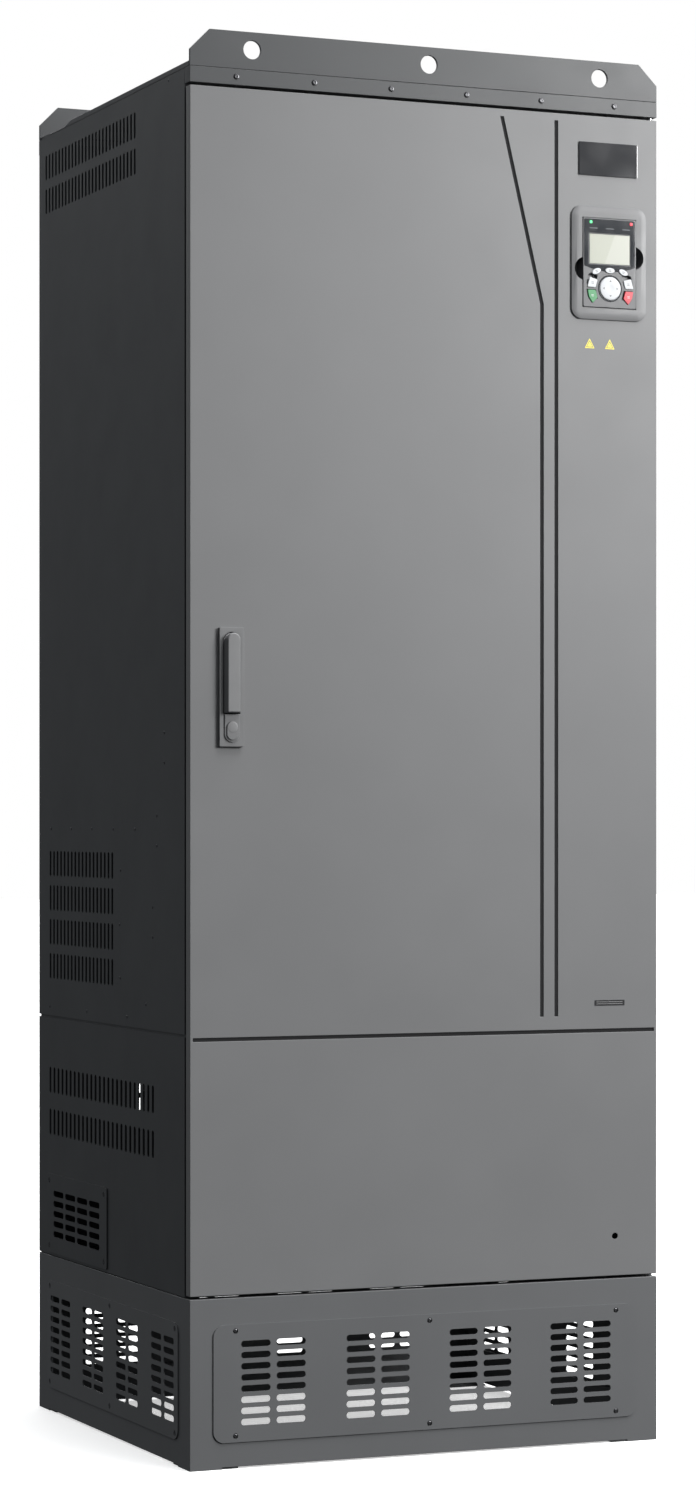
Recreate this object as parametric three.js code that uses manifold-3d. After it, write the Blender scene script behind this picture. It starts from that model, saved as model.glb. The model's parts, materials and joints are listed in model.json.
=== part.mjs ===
// Floor-standing variable frequency drive: a sheet-steel cabinet on a slotted plinth, with a hinged
// front door that carries the keypad and a swing handle, and the power stage inside.
//
// Millimetres, +Z up. X runs across the front from the middle, Y runs back from the door's front face,
// and Z starts at the floor. The last lines move the drive so that its origin is the middle of its base.
import * as THREE from "three";
import { mergeVertices } from "three/addons/utils/BufferGeometryUtils.js";
import Module from "manifold-3d";

const wasm = await Module();
wasm.setup();

// ---------------------------------------------------------------- driving dimensions

const cabinet = { width: 620, depth: 560, height: 1700 };
const gap = 0.3; // left between pieces that touch
const weld = 0.5; // how far the parts of one piece run into each other
const past = 1; // how far a cutting tool runs past the faces it cuts
const sheet = { panel: 1.5, cover: 1.2, frame: 2, plinth: 2, door: 2, inner: 1.5 };

const plinth = { height: 202, footLength: 41, footLift: 2.3, topFlange: 20, pad: 60, anchorHole: 14 };
const plinthCover = { height: plinth.height - 62.7, corner: 14, overlap: 16 };
const plinthCoverInset = { front: 29.2, side: 37.3 };
const coverSlot = { height: 8, rowPitch: 13.2, rows: 8, groups: 4 };
const endSlot = { length: 83, edge: 35 }; // of the front and rear covers
const sideSlot = { length: 78.2, edge: 13 };

const lifting = { upstand: 44.7, leg: 40, thickness: 4, chamfer: 25 };
const liftingHole = { diameter: 22, drop: 21, inset: 78.9 };
const roof = { rise: 6.5, sheet: 1.5, raisedEndFromRear: 129, slope: 24, slopeDrop: 4.5 };

const frame = {
  flange: 16.7, // width of the front face that the gasket meets
  postDepth: 42,
  lip: 17,
  rearLeg: 40,
  ring: 40, // width of the bottom and top rings
  sill: 54, // height of the front face below and above the door opening
  midRail: 50,
  fascia: 19, // front and rear faces above the door and the rear panel
};
const seam = { height: 512, width: 3, foot: 1 }; // between the lower and the upper panels

// Vents on the side panels: the last slot is fromRear, and the first is beyond fromFront.
const topVent = { pitch: 13.03, width: 6.5, height: 76.5, fromRear: 28.7, fromFront: 150, below: 61.9 };
const middleVent = { pitch: 14.08, width: 7, height: 77.7, fromRear: 46, fromFront: 235, above: 87.8 };
const middleVentRowPitch = 88.4;
const lowVent = { pitch: 16.09, width: 8, height: 88.2, fromRear: 45.6, fromFront: 80, below: 109.3 };
const ventCover = { length: 233, height: 102, fromRear: 151.8, centre: 257.7, border: 16 };
const ventCoverSlot = { length: 86.5, height: 8, pitch: 92.8, rowPitch: 13.05, rows: 5 };
const rearVent = { slots: 15, pitch: 24, width: 10, height: 76.5 };

const door = { depth: 14, sideGap: 0.3, bottomGap: 3.7, topGap: 3.6, frameGap: 3.7 };
const groove = { width: 4.6, depth: 1, fromTop: 9, above: 18.5, crossAbove: 302, crossInset: 3.5 };
// The two upright grooves, from the door's right side, and the left one's slant at its top.
const grooveRun = { left: 157.2, right: 137.7, slant: 54, slantHeight: 226 };
const lockHole = { radius: 4, fromSide: 57.4, above: 48.6 };
const gasket = { width: 7.5, fromSide: 8, fromEnd: 22 };
const hinge = { pinRadius: 2.5, fromSide: 6.5, back: 6, reach: 18, bush: 10, clearance: 0.15 };
const hingeHead = { radius: 3.6, height: 3 };

const namePlate = { width: 80.7, height: 41, thickness: 1.2, fromSide: 67.1, below: 52.9 };
const keypad = { width: 72.4, proud: 4, clearance: 0.5, corner: 2 };
const keyScale = keypad.width / 72.4; // the keys and the display are laid out for this width
const keypadHeight = 109.5 * keyScale;
const bezel = { border: 15, corner: 7, proud: 3, slope: 7, slopeRise: 1, wall: 1.5 };
// The keypad's middle, from the door's side and top.
const keypadPlace = { fromSide: keypad.width / 2 + 30.5, below: 180.6 };
const pocketDepth = 13; // of the keypad's pocket, behind the door's front face
const screen = { border: 8.8 * keyScale, height: 36.3 * keyScale, above: 17 * keyScale, depth: 1 };
const fingerNotch = { radius: 14.2, offset: 3.6, lift: 8 };
const key = { proud: 1.2, travel: 1, clearance: 0.3, depth: 4.2 };

const handle = { width: 31, height: 141, proud: 4.5, fromSide: 51, lift: 4.9 };
const lever = { width: 20, faceWidth: 15.3, rise: 8, gap: 0.4, pivot: 3, endGap: 1.5, lockSpace: 56.2 };
const leverEnd = { round: 2, relief: 1.5 }; // its top, and how far its flat back goes past the spindle
const leverPin = { radius: 1.5, reach: 6, lug: 3, slotMargin: 1.5 };
const recess = { width: 21.4, depth: 3, fromTop: 5.5 };
const lockBody = { width: 19, proud: 6, fromBottom: 5.4, tunnelRim: 2, rivet: 1.5, rivetDepth: 5 };
const lockTab = { radius: 7, drop: 8.5, thickness: 1.5 }; // the dust cover over the lock
const barrel = { radius: 4.5, sunk: 0.3, keyWidth: 1.2, keyHeight: 5.6, keyDepth: 4 };
const spindle = { radius: 5, boss: 10, bossDepth: 20, disc: 1.7 };
const lockCam = { thickness: 3, radius: 17, tongueWidth: 14, start: 24, shortBy: 1.5 };
const lockRod = { radius: 4, behindCam: 0.5, fromSpindle: 20 };
const rodGuide = { width: 18, height: 12, rim: 3, fromEnd: 75 };

const ductWall = { back: 264, fromSide: 4, deckBelow: 175 };
const sink = { fromSide: 78, base: 20, finDepth: 130, fin: 4, finPitch: 18, margin: 30, rim: 12 };
const igbt = { width: 89, sinkShare: 0.388, depth: 38, pitch: 112 };
const rectifier = { width: 190, sinkShare: 0.171, depth: 50 };
const shoulder = { depthShare: 0.3, heightShare: 0.12 }; // the steps at a power module's ends
const capacitor = { radius: 38, length: 140, pitch: 86, rowPitch: 104, rows: 2, plate: 3, fromSide: 55 };
const busPlate = { thickness: 3, standoff: 8, fromSide: 100 };
const boardTray = { front: 100, fromSide: 78, below: 60 };
const controlBoard = { width: 320, height: 260, thickness: 1.6, post: 4, postInset: 8, standoff: 9 };
const terminal = { width: 0.3226 * cabinet.width, height: 46, depth: 54, rib: 5, ribDepth: 16 };
const cableEntry = { radius: 34, pitch: 0.1323 * cabinet.width, fromFront: 130 };
const fromMiddle = 0.2258 * cabinet.width; // of each terminal block and each group of cable entries
const airIntake = { width: 0.7742 * cabinet.width, length: 190, fromRear: 60 };
const fan = { height: 50, boreShare: 0.47, motor: 36, blades: 5, tipGap: 4, betweenFans: 30, margin: 26.2 };
const fanFrame = { corner: 12, arms: 3, armWidth: 8, armHeight: 5, sideMargin: 60 };
const blade = { chord: 46, thickness: 2.5, pitchAngle: 0.6, rootOverlap: 8, below: 1, above: 3 };

const colour = {
  graphite: 0x77797b,
  zinc: 0xb9bdc0,
  steel: 0x9a9da0,
  blackPlastic: 0x1c1d1f,
  greyPlastic: 0x6d7073,
  rubber: 0x202020,
  white: 0xe9ebec,
  green: 0x3c8c50,
  red: 0xd23c46,
  lcd: 0xcdd0be,
  copper: 0xb8734a,
  board: 0x1f5a3a,
  aluminium: 0xb4b8bb,
  cream: 0xd9d6cb,
};

// ---------------------------------------------------------------- places worked out from the sizes

const sideFace = cabinet.width / 2 - sheet.cover - gap; // outer face of the side panels and the plinth
const rearFace = cabinet.depth - sheet.cover - gap; // outer face of the rear panels and the plinth
const frameSide = sideFace - sheet.panel - gap;
const frameRear = rearFace - sheet.panel - gap;
const frameFront = door.depth + door.frameGap;
const frameBottom = plinth.height + gap;
const frameTop = cabinet.height - gap - lifting.upstand;
const frameBase = frameBottom + sheet.frame; // upper face of the frame's bottom ring

const doorSide = sideFace - door.sideGap;
const doorBottom = plinth.height + door.bottomGap;
const doorTop = frameTop - frame.fascia - door.topGap;
const doorMiddle = (doorBottom + doorTop) / 2;

const hingePlace = [doorSide - hinge.fromSide, hinge.back]; // x and y of the hinge line

const handleX = -doorSide + handle.fromSide;
const handleZ = doorMiddle + handle.lift;
const handleTop = handleZ + handle.height / 2;
const handleBottom = handleZ - handle.height / 2;
const spindleZ = handleTop - recess.fromTop - recess.width / 2;
const leverLength = handle.height - lever.lockSpace;
const leverBack = -(handle.proud + lever.gap); // y of the lever's rear face
const leverPivotY = leverBack - lever.pivot;
const leverBottom = spindleZ - leverLength;
const lockTop = leverBottom - lever.endGap;
const lockBottom = handleBottom + lockBody.fromBottom;
const lockCoverZ = lockTop - lockTab.drop - lockTab.radius;
const barrelZ = lockBottom + lockBody.width / 2;
const hubBack = -handle.proud + recess.depth - gap; // y of the hub's rear face, in the dish
const rodY = lockCam.start + lockCam.thickness + lockRod.behindCam + lockRod.radius;
const rodTop = frameTop - frame.fascia - frame.sill - lockCam.shortBy;
const rodBottom = frameBottom + frame.sill + lockCam.shortBy;

const keypadX = doorSide - keypadPlace.fromSide;
const keypadZ = doorTop - keypadPlace.below;
const keypadBottom = keypadZ - keypadHeight / 2;
const keyFace = -keypad.proud; // y of the keypad's front face
const screenHalf = keypad.width / 2 - screen.border;
const pocketWidth = keypad.width / 2 + keypad.clearance;
const pocketHeight = keypadHeight / 2 + keypad.clearance;
const bezelBody = pocketWidth + fingerNotch.radius - fingerNotch.offset + bezel.wall;

const deckZ = frameTop - ductWall.deckBelow;
const railTop = seam.height + frame.midRail / 2;
const capacitorTop = deckZ - sink.margin;
const capacitorHeight = capacitor.rows * capacitor.rowPitch;
const sinkBottom = railTop + sink.margin;
const sinkTop = capacitorTop - capacitorHeight - sink.margin;
const sinkHalf = frameSide - sink.fromSide;
const sinkFace = ductWall.back - sheet.inner - gap - sink.base; // front face of the heat sink's base
const igbtHeight = igbt.sinkShare * (sinkTop - sinkBottom);
const rectifierHeight = rectifier.sinkShare * (sinkTop - sinkBottom);
const moduleZ = sinkTop - sink.margin - igbtHeight / 2;
const rectifierZ = sinkBottom + (sink.margin + rectifierHeight) / 2;
const trayBottom = sinkBottom;
const trayTop = sinkTop - boardTray.below;

const deckBack = frameRear - frame.rearLeg - gap;
const fanY = (ductWall.back + deckBack) / 2;
const fanSize = Math.min(
  deckBack - ductWall.back - 2 * fan.margin,
  frameSide - fanFrame.sideMargin - fan.betweenFans / 2,
);
const fanX = (fanSize + fan.betweenFans) / 2;
const fanBore = fan.boreShare * fanSize;
const fanTip = fanBore - fan.tipGap;

// ---------------------------------------------------------------- solids

const sliver = 0.02; // edges shorter than this are left out of a finished solid

function toSolid(geometry) {
  const bare = geometry.index ? geometry.toNonIndexed() : geometry.clone();
  bare.deleteAttribute("normal");
  bare.deleteAttribute("uv");
  const merged = mergeVertices(bare, 1e-4);
  const mesh = new wasm.Mesh({
    numProp: 3,
    vertProperties: merged.attributes.position.array,
    triVerts: new Uint32Array(merged.index.array),
  });
  return new wasm.Manifold(mesh);
}

// A solid's surface as a geometry, without the slivers that booleans leave along flush faces.
function toGeometry(solid) {
  const mesh = solid.asOriginal().simplify(sliver).getMesh();
  const positions = new Float32Array(mesh.numVert * 3);
  for (let i = 0; i < mesh.numVert; i++) {
    positions.set(mesh.vertProperties.subarray(i * mesh.numProp, i * mesh.numProp + 3), i * 3);
  }
  const geometry = new THREE.BufferGeometry();
  geometry.setAttribute("position", new THREE.BufferAttribute(positions, 3));
  geometry.setIndex(new THREE.BufferAttribute(mesh.triVerts, 1));
  geometry.computeVertexNormals();
  return geometry;
}

const joined = (parts) => parts.map(toSolid).reduce((whole, part) => whole.add(part));
const join = (...parts) => toGeometry(joined(parts));
const cut = (body, ...tools) => toGeometry(toSolid(body).subtract(joined(tools)));

// Gives each vertex of a unit shape its place. Faces meant to be flush get exactly the same values.
function placeVertices(geometry, place) {
  const positions = geometry.getAttribute("position");
  for (let i = 0; i < positions.count; i++) {
    positions.setXYZ(i, ...place(positions.getX(i), positions.getY(i), positions.getZ(i)));
  }
  return geometry;
}

// A block between two values on each axis.
const block = (x, y, z) =>
  placeVertices(new THREE.BoxGeometry(1, 1, 1), (u, v, w) => [
    u < 0 ? x[0] : x[1],
    v < 0 ? y[0] : y[1],
    w < 0 ? z[0] : z[1],
  ]);

// An outline made one unit thick and put in its place, with its holes cut right through.
// place gets the outline's two coordinates, which face the vertex is on, and how far a hole runs past it.
function extrude(shape, segments, place) {
  const options = { depth: 1, bevelEnabled: false, curveSegments: segments };
  const slab = (outline, run) => {
    const flat = new THREE.Shape(outline.getPoints(segments));
    return placeVertices(new THREE.ExtrudeGeometry(flat, options), (u, v, w) => place(u, v, w > 0, run));
  };
  const body = slab(shape, 0);
  return shape.holes.length > 0 ? cut(body, ...shape.holes.map((hole) => slab(hole, past))) : body;
}

// Outlines drawn in X and Z, and made thick along Y.
const facingFront = (shape, [y0, y1], segments = 6) =>
  extrude(shape, segments, (u, v, far, run) => [u, far ? y0 - run : y1 + run, v]);

// Outlines drawn in Y and Z, and made thick along X.
const facingSide = (shape, [x0, x1], segments = 6) =>
  extrude(shape, segments, (u, v, far, run) => [far ? x1 + run : x0 - run, u, v]);

// Outlines drawn in X and Y, and made thick along Z.
const facingUp = (shape, [z0, z1], segments = 6) =>
  extrude(shape, segments, (u, v, far, run) => [u, v, far ? z1 + run : z0 - run]);

// A cylinder between two values along one axis: "x", "y" or "z". across gives its other two coordinates.
function rod(axis, [from, to], [a, b], radius, segments = 16) {
  const places = {
    x: (u, v, w) => [v < 0 ? from : to, w + a, u + b],
    y: (u, v, w) => [u + a, v < 0 ? from : to, w + b],
    z: (u, v, w) => [w + a, u + b, v < 0 ? from : to],
  };
  return placeVertices(new THREE.CylinderGeometry(radius, radius, 1, segments), places[axis]);
}

function polygon(points) {
  return new THREE.Shape(points.map(([u, v]) => new THREE.Vector2(u, v)));
}

const rectangle = ([u0, u1], [v0, v1]) =>
  polygon([
    [u0, v0],
    [u1, v0],
    [u1, v1],
    [u0, v1],
  ]);

function roundedRectangle([u0, u1], [v0, v1], r) {
  const shape = new THREE.Shape();
  shape.absarc(u1 - r, v0 + r, r, -Math.PI / 2, 0);
  shape.absarc(u1 - r, v1 - r, r, 0, Math.PI / 2);
  shape.absarc(u0 + r, v1 - r, r, Math.PI / 2, Math.PI);
  shape.absarc(u0 + r, v0 + r, r, Math.PI, Math.PI * 1.5);
  return shape;
}

const about = (middle, half) => [middle - half, middle + half];

function roundHole(u, v, radius) {
  const path = new THREE.Path();
  path.absarc(u, v, radius, 0, Math.PI * 2, true);
  return path;
}

// Rows and columns of equal rectangular slots as holes in an outline.
function addSlots(shape, columns, rows, width, height) {
  for (const u of columns) {
    for (const v of rows) {
      shape.holes.push(rectangle(about(u, width / 2), about(v, height / 2)));
    }
  }
  return shape;
}

// count values with a given pitch, about a middle.
function spread(middle, pitch, count) {
  return Array.from({ length: count }, (_, i) => middle + (i - (count - 1) / 2) * pitch);
}

// Values with a given pitch, going down from the last one for as long as they stay above a limit.
function backFrom(last, pitch, limit) {
  const count = Math.floor((last - limit) / pitch);
  return Array.from({ length: count }, (_, i) => last - i * pitch);
}

// A sub-assembly's own group.
function assembly(parent, name, position = [0, 0, 0]) {
  const group = new THREE.Group();
  group.name = name;
  group.position.set(...position);
  parent.add(group);
  return group;
}

function add(parent, name, geometry, color, roughness = 0.5, metalness = 0) {
  const material = new THREE.MeshStandardMaterial({ color, roughness, metalness });
  const mesh = new THREE.Mesh(geometry, material);
  mesh.name = name;
  parent.add(mesh);
}

// The same piece on the left (-1) and on the right (+1).
const sides = [
  ["left", -1],
  ["right", 1],
];
const acrossX = (side, near, far) => (side < 0 ? [-far, -near] : [near, far]);

// ---------------------------------------------------------------- plinth

function plinthFrame() {
  const x = [-sideFace, sideFace];
  const z = [0, plinth.height];
  const inner = sideFace - sheet.plinth;
  const rearInner = rearFace - sheet.plinth;
  const coverZ = plinth.height / 2;
  const windowZ = about(coverZ, plinthCover.height / 2 - plinthCover.overlap);
  const windowX = sideFace - plinthCoverInset.front - plinthCover.overlap;
  const windowY = rearFace / 2 - plinthCoverInset.side - plinthCover.overlap;
  const footX = sideFace - plinth.footLength;
  const footY = [plinth.footLength, rearFace - plinth.footLength];
  const opening = sideFace - plinth.topFlange;
  const body = block(x, [0, rearFace], z);
  const hollow = block([-inner, inner], [sheet.plinth, rearInner], [-past, plinth.height - sheet.plinth]);
  const topOpening = block(
    [-opening, opening],
    [plinth.topFlange, rearFace - plinth.topFlange],
    [plinth.height / 2, plinth.height + past],
  );
  const windows = [
    block([-windowX, windowX], [-past, rearFace + past], windowZ),
    block([-sideFace - past, sideFace + past], about(rearFace / 2, windowY), windowZ),
  ];
  const lifted = [
    block([-footX, footX], [-past, rearFace + past], [-past, plinth.footLift]),
    block([-sideFace - past, sideFace + past], footY, [-past, plinth.footLift]),
  ];
  const pinHole = rod(
    "z",
    [plinth.height - sheet.plinth - past, plinth.height + past],
    hingePlace,
    hinge.pinRadius + gap,
    12,
  );
  let solid = toSolid(body).subtract(joined([hollow, topOpening, ...windows, ...lifted, pinHole]));
  for (const [, side] of sides) {
    for (const y of [sheet.plinth, rearInner - plinth.pad]) {
      const pad = rectangle(acrossX(side, inner - plinth.pad, inner), [y, y + plinth.pad]);
      const middle = [side * (inner - plinth.pad / 2), y + plinth.pad / 2];
      pad.holes.push(roundHole(...middle, plinth.anchorHole / 2));
      solid = solid.add(toSolid(facingUp(pad, [0, sheet.plinth], 3)));
    }
  }
  return toGeometry(solid);
}

// A plinth cover with groups of slots, made thick by facing, with its middle at across.
function slottedCover(length, slot, facing, across) {
  const outline = roundedRectangle(
    about(across, length / 2),
    about(plinth.height / 2, plinthCover.height / 2),
    plinthCover.corner,
  );
  const pitch = (length - 2 * slot.edge - slot.length) / (coverSlot.groups - 1);
  const columns = spread(across, pitch, coverSlot.groups);
  const rows = spread(plinth.height / 2, coverSlot.rowPitch, coverSlot.rows);
  return facing(addSlots(outline, columns, rows, slot.length, coverSlot.height));
}

function addPlinth(parent) {
  const frontLength = 2 * (sideFace - plinthCoverInset.front);
  const sideLength = rearFace - 2 * plinthCoverInset.side;
  const near = sideFace + gap;
  const far = cabinet.width / 2;
  add(parent, "plinth_frame", plinthFrame(), colour.graphite, 0.55, 0.3);
  const front = (outline) => facingFront(outline, [-gap - sheet.cover, -gap], 3);
  const rear = (outline) => facingFront(outline, [rearFace + gap, cabinet.depth], 3);
  const end = (facing) => slottedCover(frontLength, endSlot, facing, 0);
  add(parent, "plinth_front_cover", end(front), colour.graphite);
  add(parent, "plinth_rear_cover", end(rear), colour.graphite);
  for (const [name, side] of sides) {
    const face = (outline) => facingSide(outline, acrossX(side, near, far), 3);
    const cover = slottedCover(sideLength, sideSlot, face, rearFace / 2);
    add(parent, `plinth_${name}_cover`, cover, colour.graphite);
  }
}

// ---------------------------------------------------------------- frame, panels and roof

function cabinetFrame() {
  const t = sheet.frame;
  const out = frameSide;
  const z = [frameBottom, frameTop];
  const front = [frameFront, frameFront + t];
  const parts = [];
  for (const [, side] of sides) {
    const leg = acrossX(side, out - t, out);
    parts.push(block(acrossX(side, out - frame.flange, out), front, z));
    parts.push(block(leg, [frameFront, frameFront + frame.postDepth], z));
    const lip = acrossX(side, out - frame.flange, out - frame.flange + t);
    parts.push(block(lip, [frameFront, frameFront + frame.lip], z));
    parts.push(block(leg, [frameRear - frame.rearLeg, frameRear], z));
    parts.push(block(acrossX(side, out - frame.rearLeg, out), [frameRear - t, frameRear], z));
    parts.push(block(leg, [frameFront, frameRear], about(seam.height, frame.midRail / 2)));
    for (const edge of [[frameBottom, frameBottom + t], [frameTop - t, frameTop]]) {
      parts.push(block(acrossX(side, out - frame.ring, out), [frameFront, frameRear], edge));
    }
  }
  const sillBottom = [frameBottom, frameBottom + frame.sill];
  const sillTop = [frameTop - frame.fascia - frame.sill, frameTop];
  parts.push(block([-out, out], front, sillBottom), block([-out, out], front, sillTop));
  const rearStrip = [frameRear - t, frameRear];
  parts.push(block([-out, out], rearStrip, [frameBottom, frameBottom + frame.ring]));
  parts.push(block([-out, out], rearStrip, about(seam.height, frame.midRail / 2)));
  parts.push(block([-out, out], [frameFront, frameFront + frame.ring], [frameBottom, frameBottom + t]));
  parts.push(block([-out, out], [frameRear - frame.ring, frameRear], [frameBottom, frameBottom + t]));
  parts.push(block([-out, out], [0, frameFront + frame.ring], [frameTop - t, frameTop]));
  parts.push(block([-out, out], [frameRear - frame.ring, cabinet.depth], [frameTop - t, frameTop]));
  // Fascias above the door and above the rear panel, closed at their ends.
  const fascia = [frameTop - frame.fascia, frameTop];
  const shelf = [frameTop - frame.fascia, frameTop - frame.fascia + t];
  parts.push(block([-sideFace, sideFace], [0, t], fascia));
  parts.push(block([-sideFace, sideFace], [0, frameFront - gap], shelf));
  parts.push(block([-out, out], [0, frameFront + t], shelf));
  parts.push(block([-sideFace, sideFace], [rearFace + gap, cabinet.depth], fascia));
  for (const [, side] of sides) {
    parts.push(block(acrossX(side, sideFace - t, sideFace), [0, frameFront - gap], fascia));
  }
  // Cross rail that carries the terminals and the foot of the duct wall.
  const crossRail = [ductWall.back - sheet.inner - gap - t, ductWall.back - sheet.inner - gap];
  parts.push(block([-out, out], crossRail, about(seam.height, frame.midRail / 2)));
  const pinHole = rod("z", [shelf[0] - past, shelf[1] + past], hingePlace, hinge.pinRadius + gap, 12);
  return toGeometry(joined(parts).subtract(toSolid(pinHole)));
}

const sidePanelOutline = (z) => rectangle([frameFront, rearFace], z);
const ventSlots = (vent) => backFrom(rearFace - vent.fromRear, vent.pitch, frameFront + vent.fromFront);
const middleVentRows = [0, 1].map((row) => seam.height + middleVent.above + row * middleVentRowPitch);

function upperSidePanel(side) {
  const outline = sidePanelOutline([seam.height + seam.width / 2, frameTop]);
  addSlots(outline, ventSlots(topVent), [frameTop - topVent.below], topVent.width, topVent.height);
  addSlots(outline, ventSlots(middleVent), middleVentRows, middleVent.width, middleVent.height);
  return facingSide(outline, acrossX(side, frameSide + gap, sideFace));
}

function lowerSidePanel(side) {
  const outline = sidePanelOutline([frameBottom + seam.foot, seam.height - seam.width / 2]);
  addSlots(outline, ventSlots(lowVent), [seam.height - lowVent.below], lowVent.width, lowVent.height);
  const window = rectangle(
    about(rearFace - ventCover.fromRear, ventCover.length / 2 - ventCover.border),
    about(ventCover.centre, ventCover.height / 2 - ventCover.border),
  );
  outline.holes.push(window);
  return facingSide(outline, acrossX(side, frameSide + gap, sideFace));
}

function smallVentCover(side) {
  const middle = rearFace - ventCover.fromRear;
  const outline = rectangle(
    about(middle, ventCover.length / 2),
    about(ventCover.centre, ventCover.height / 2),
  );
  const rows = spread(ventCover.centre, ventCoverSlot.rowPitch, ventCoverSlot.rows);
  const columns = spread(middle, ventCoverSlot.pitch, 2);
  addSlots(outline, columns, rows, ventCoverSlot.length, ventCoverSlot.height);
  return facingSide(outline, acrossX(side, sideFace + gap, cabinet.width / 2));
}

function rearPanel(z, rows) {
  const outline = rectangle([-frameSide, frameSide], z);
  const columns = spread(0, rearVent.pitch, rearVent.slots);
  addSlots(outline, columns, rows, rearVent.width, rearVent.height);
  return facingFront(outline, [frameRear + gap, rearFace]);
}

function roofPanel() {
  const base = frameTop + gap;
  const high = frameTop + roof.rise;
  const start = lifting.thickness + gap;
  const end = rearFace - lifting.leg - gap;
  const raised = cabinet.depth - roof.raisedEndFromRear;
  const foot = raised + roof.slope;
  const profile = polygon([
    [start, high - roof.sheet],
    [raised, high - roof.sheet],
    [foot, high - roof.slopeDrop - roof.sheet],
    [foot, base],
    [end, base],
    [end, base + roof.sheet],
    [foot + roof.sheet, base + roof.sheet],
    [foot + roof.sheet, high - roof.slopeDrop],
    [raised, high],
    [start, high],
  ]);
  const lidEnd = polygon([
    [start, base],
    [foot, base],
    [foot, high - roof.slopeDrop],
    [raised, high],
    [start, high],
  ]);
  const inner = sideFace - roof.sheet;
  return join(
    facingSide(profile, [-sideFace, sideFace]),
    facingSide(lidEnd, [-sideFace, -inner]),
    facingSide(lidEnd, [inner, sideFace]),
  );
}

// An angle with its upright at a given face, and its leg towards the rear (1) or the front (-1).
function liftingPlate(face, legTowards) {
  const base = frameTop + gap;
  const top = cabinet.height;
  const outline = polygon([
    [-sideFace, base],
    [sideFace, base],
    [sideFace, top - lifting.chamfer],
    [sideFace - lifting.chamfer, top],
    [-sideFace + lifting.chamfer, top],
    [-sideFace, top - lifting.chamfer],
  ]);
  for (const x of spread(0, sideFace - liftingHole.inset, 3)) {
    outline.holes.push(roundHole(x, top - liftingHole.drop, liftingHole.diameter / 2));
  }
  const inner = sideFace - roof.sheet - gap;
  const end = face + legTowards * lifting.leg;
  const upright = legTowards > 0 ? [face, face + lifting.thickness] : [face - lifting.thickness, face];
  const leg = legTowards > 0 ? [face, end] : [end, face];
  const legTop = base + roof.rise - roof.sheet - 2 * gap;
  return join(
    facingFront(outline, upright, 4),
    block([-inner, inner], leg, [base, Math.min(legTop, base + lifting.thickness)]),
  );
}

const plateInset = 2.3; // from the frame's side walls

function glandPlate() {
  const half = frameSide - sheet.frame - plateInset;
  const front = frameFront + frame.lip + gap;
  const outline = rectangle([-half, half], [front, frameRear - sheet.frame - gap]);
  for (const [, side] of sides) {
    for (const x of spread(side * fromMiddle, cableEntry.pitch, 3)) {
      outline.holes.push(roundHole(x, cableEntry.fromFront, cableEntry.radius));
    }
  }
  const intakeEnd = frameRear - airIntake.fromRear;
  outline.holes.push(
    rectangle([-airIntake.width / 2, airIntake.width / 2], [intakeEnd - airIntake.length, intakeEnd]),
  );
  return facingUp(outline, [frameBase + gap, frameBase + gap + sheet.inner], 4);
}

function addCabinet(parent) {
  add(parent, "cabinet_frame", cabinetFrame(), colour.graphite, 0.55, 0.3);
  add(parent, "gland_plate", glandPlate(), colour.zinc, 0.4, 0.8);
  for (const [name, side] of sides) {
    add(parent, `${name}_upper_panel`, upperSidePanel(side), colour.graphite, 0.55, 0.3);
    add(parent, `${name}_lower_panel`, lowerSidePanel(side), colour.graphite, 0.55, 0.3);
    add(parent, `${name}_vent_cover`, smallVentCover(side), colour.graphite, 0.55, 0.3);
  }
  const rearTop = frameTop - frame.fascia - gap;
  const upper = rearPanel(
    [seam.height + seam.width / 2, rearTop],
    [middleVentRows[1], rearTop - topVent.below],
  );
  const lower = rearPanel(
    [frameBottom + seam.foot, seam.height - seam.width / 2],
    [seam.height - lowVent.below],
  );
  add(parent, "rear_upper_panel", upper, colour.graphite, 0.55, 0.3);
  add(parent, "rear_lower_panel", lower, colour.graphite, 0.55, 0.3);
  add(parent, "roof_panel", roofPanel(), colour.graphite, 0.55, 0.3);
  add(parent, "front_lifting_plate", liftingPlate(0, 1), colour.graphite, 0.5, 0.4);
  add(parent, "rear_lifting_plate", liftingPlate(cabinet.depth, -1), colour.graphite, 0.5, 0.4);
}

// ---------------------------------------------------------------- door

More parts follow.
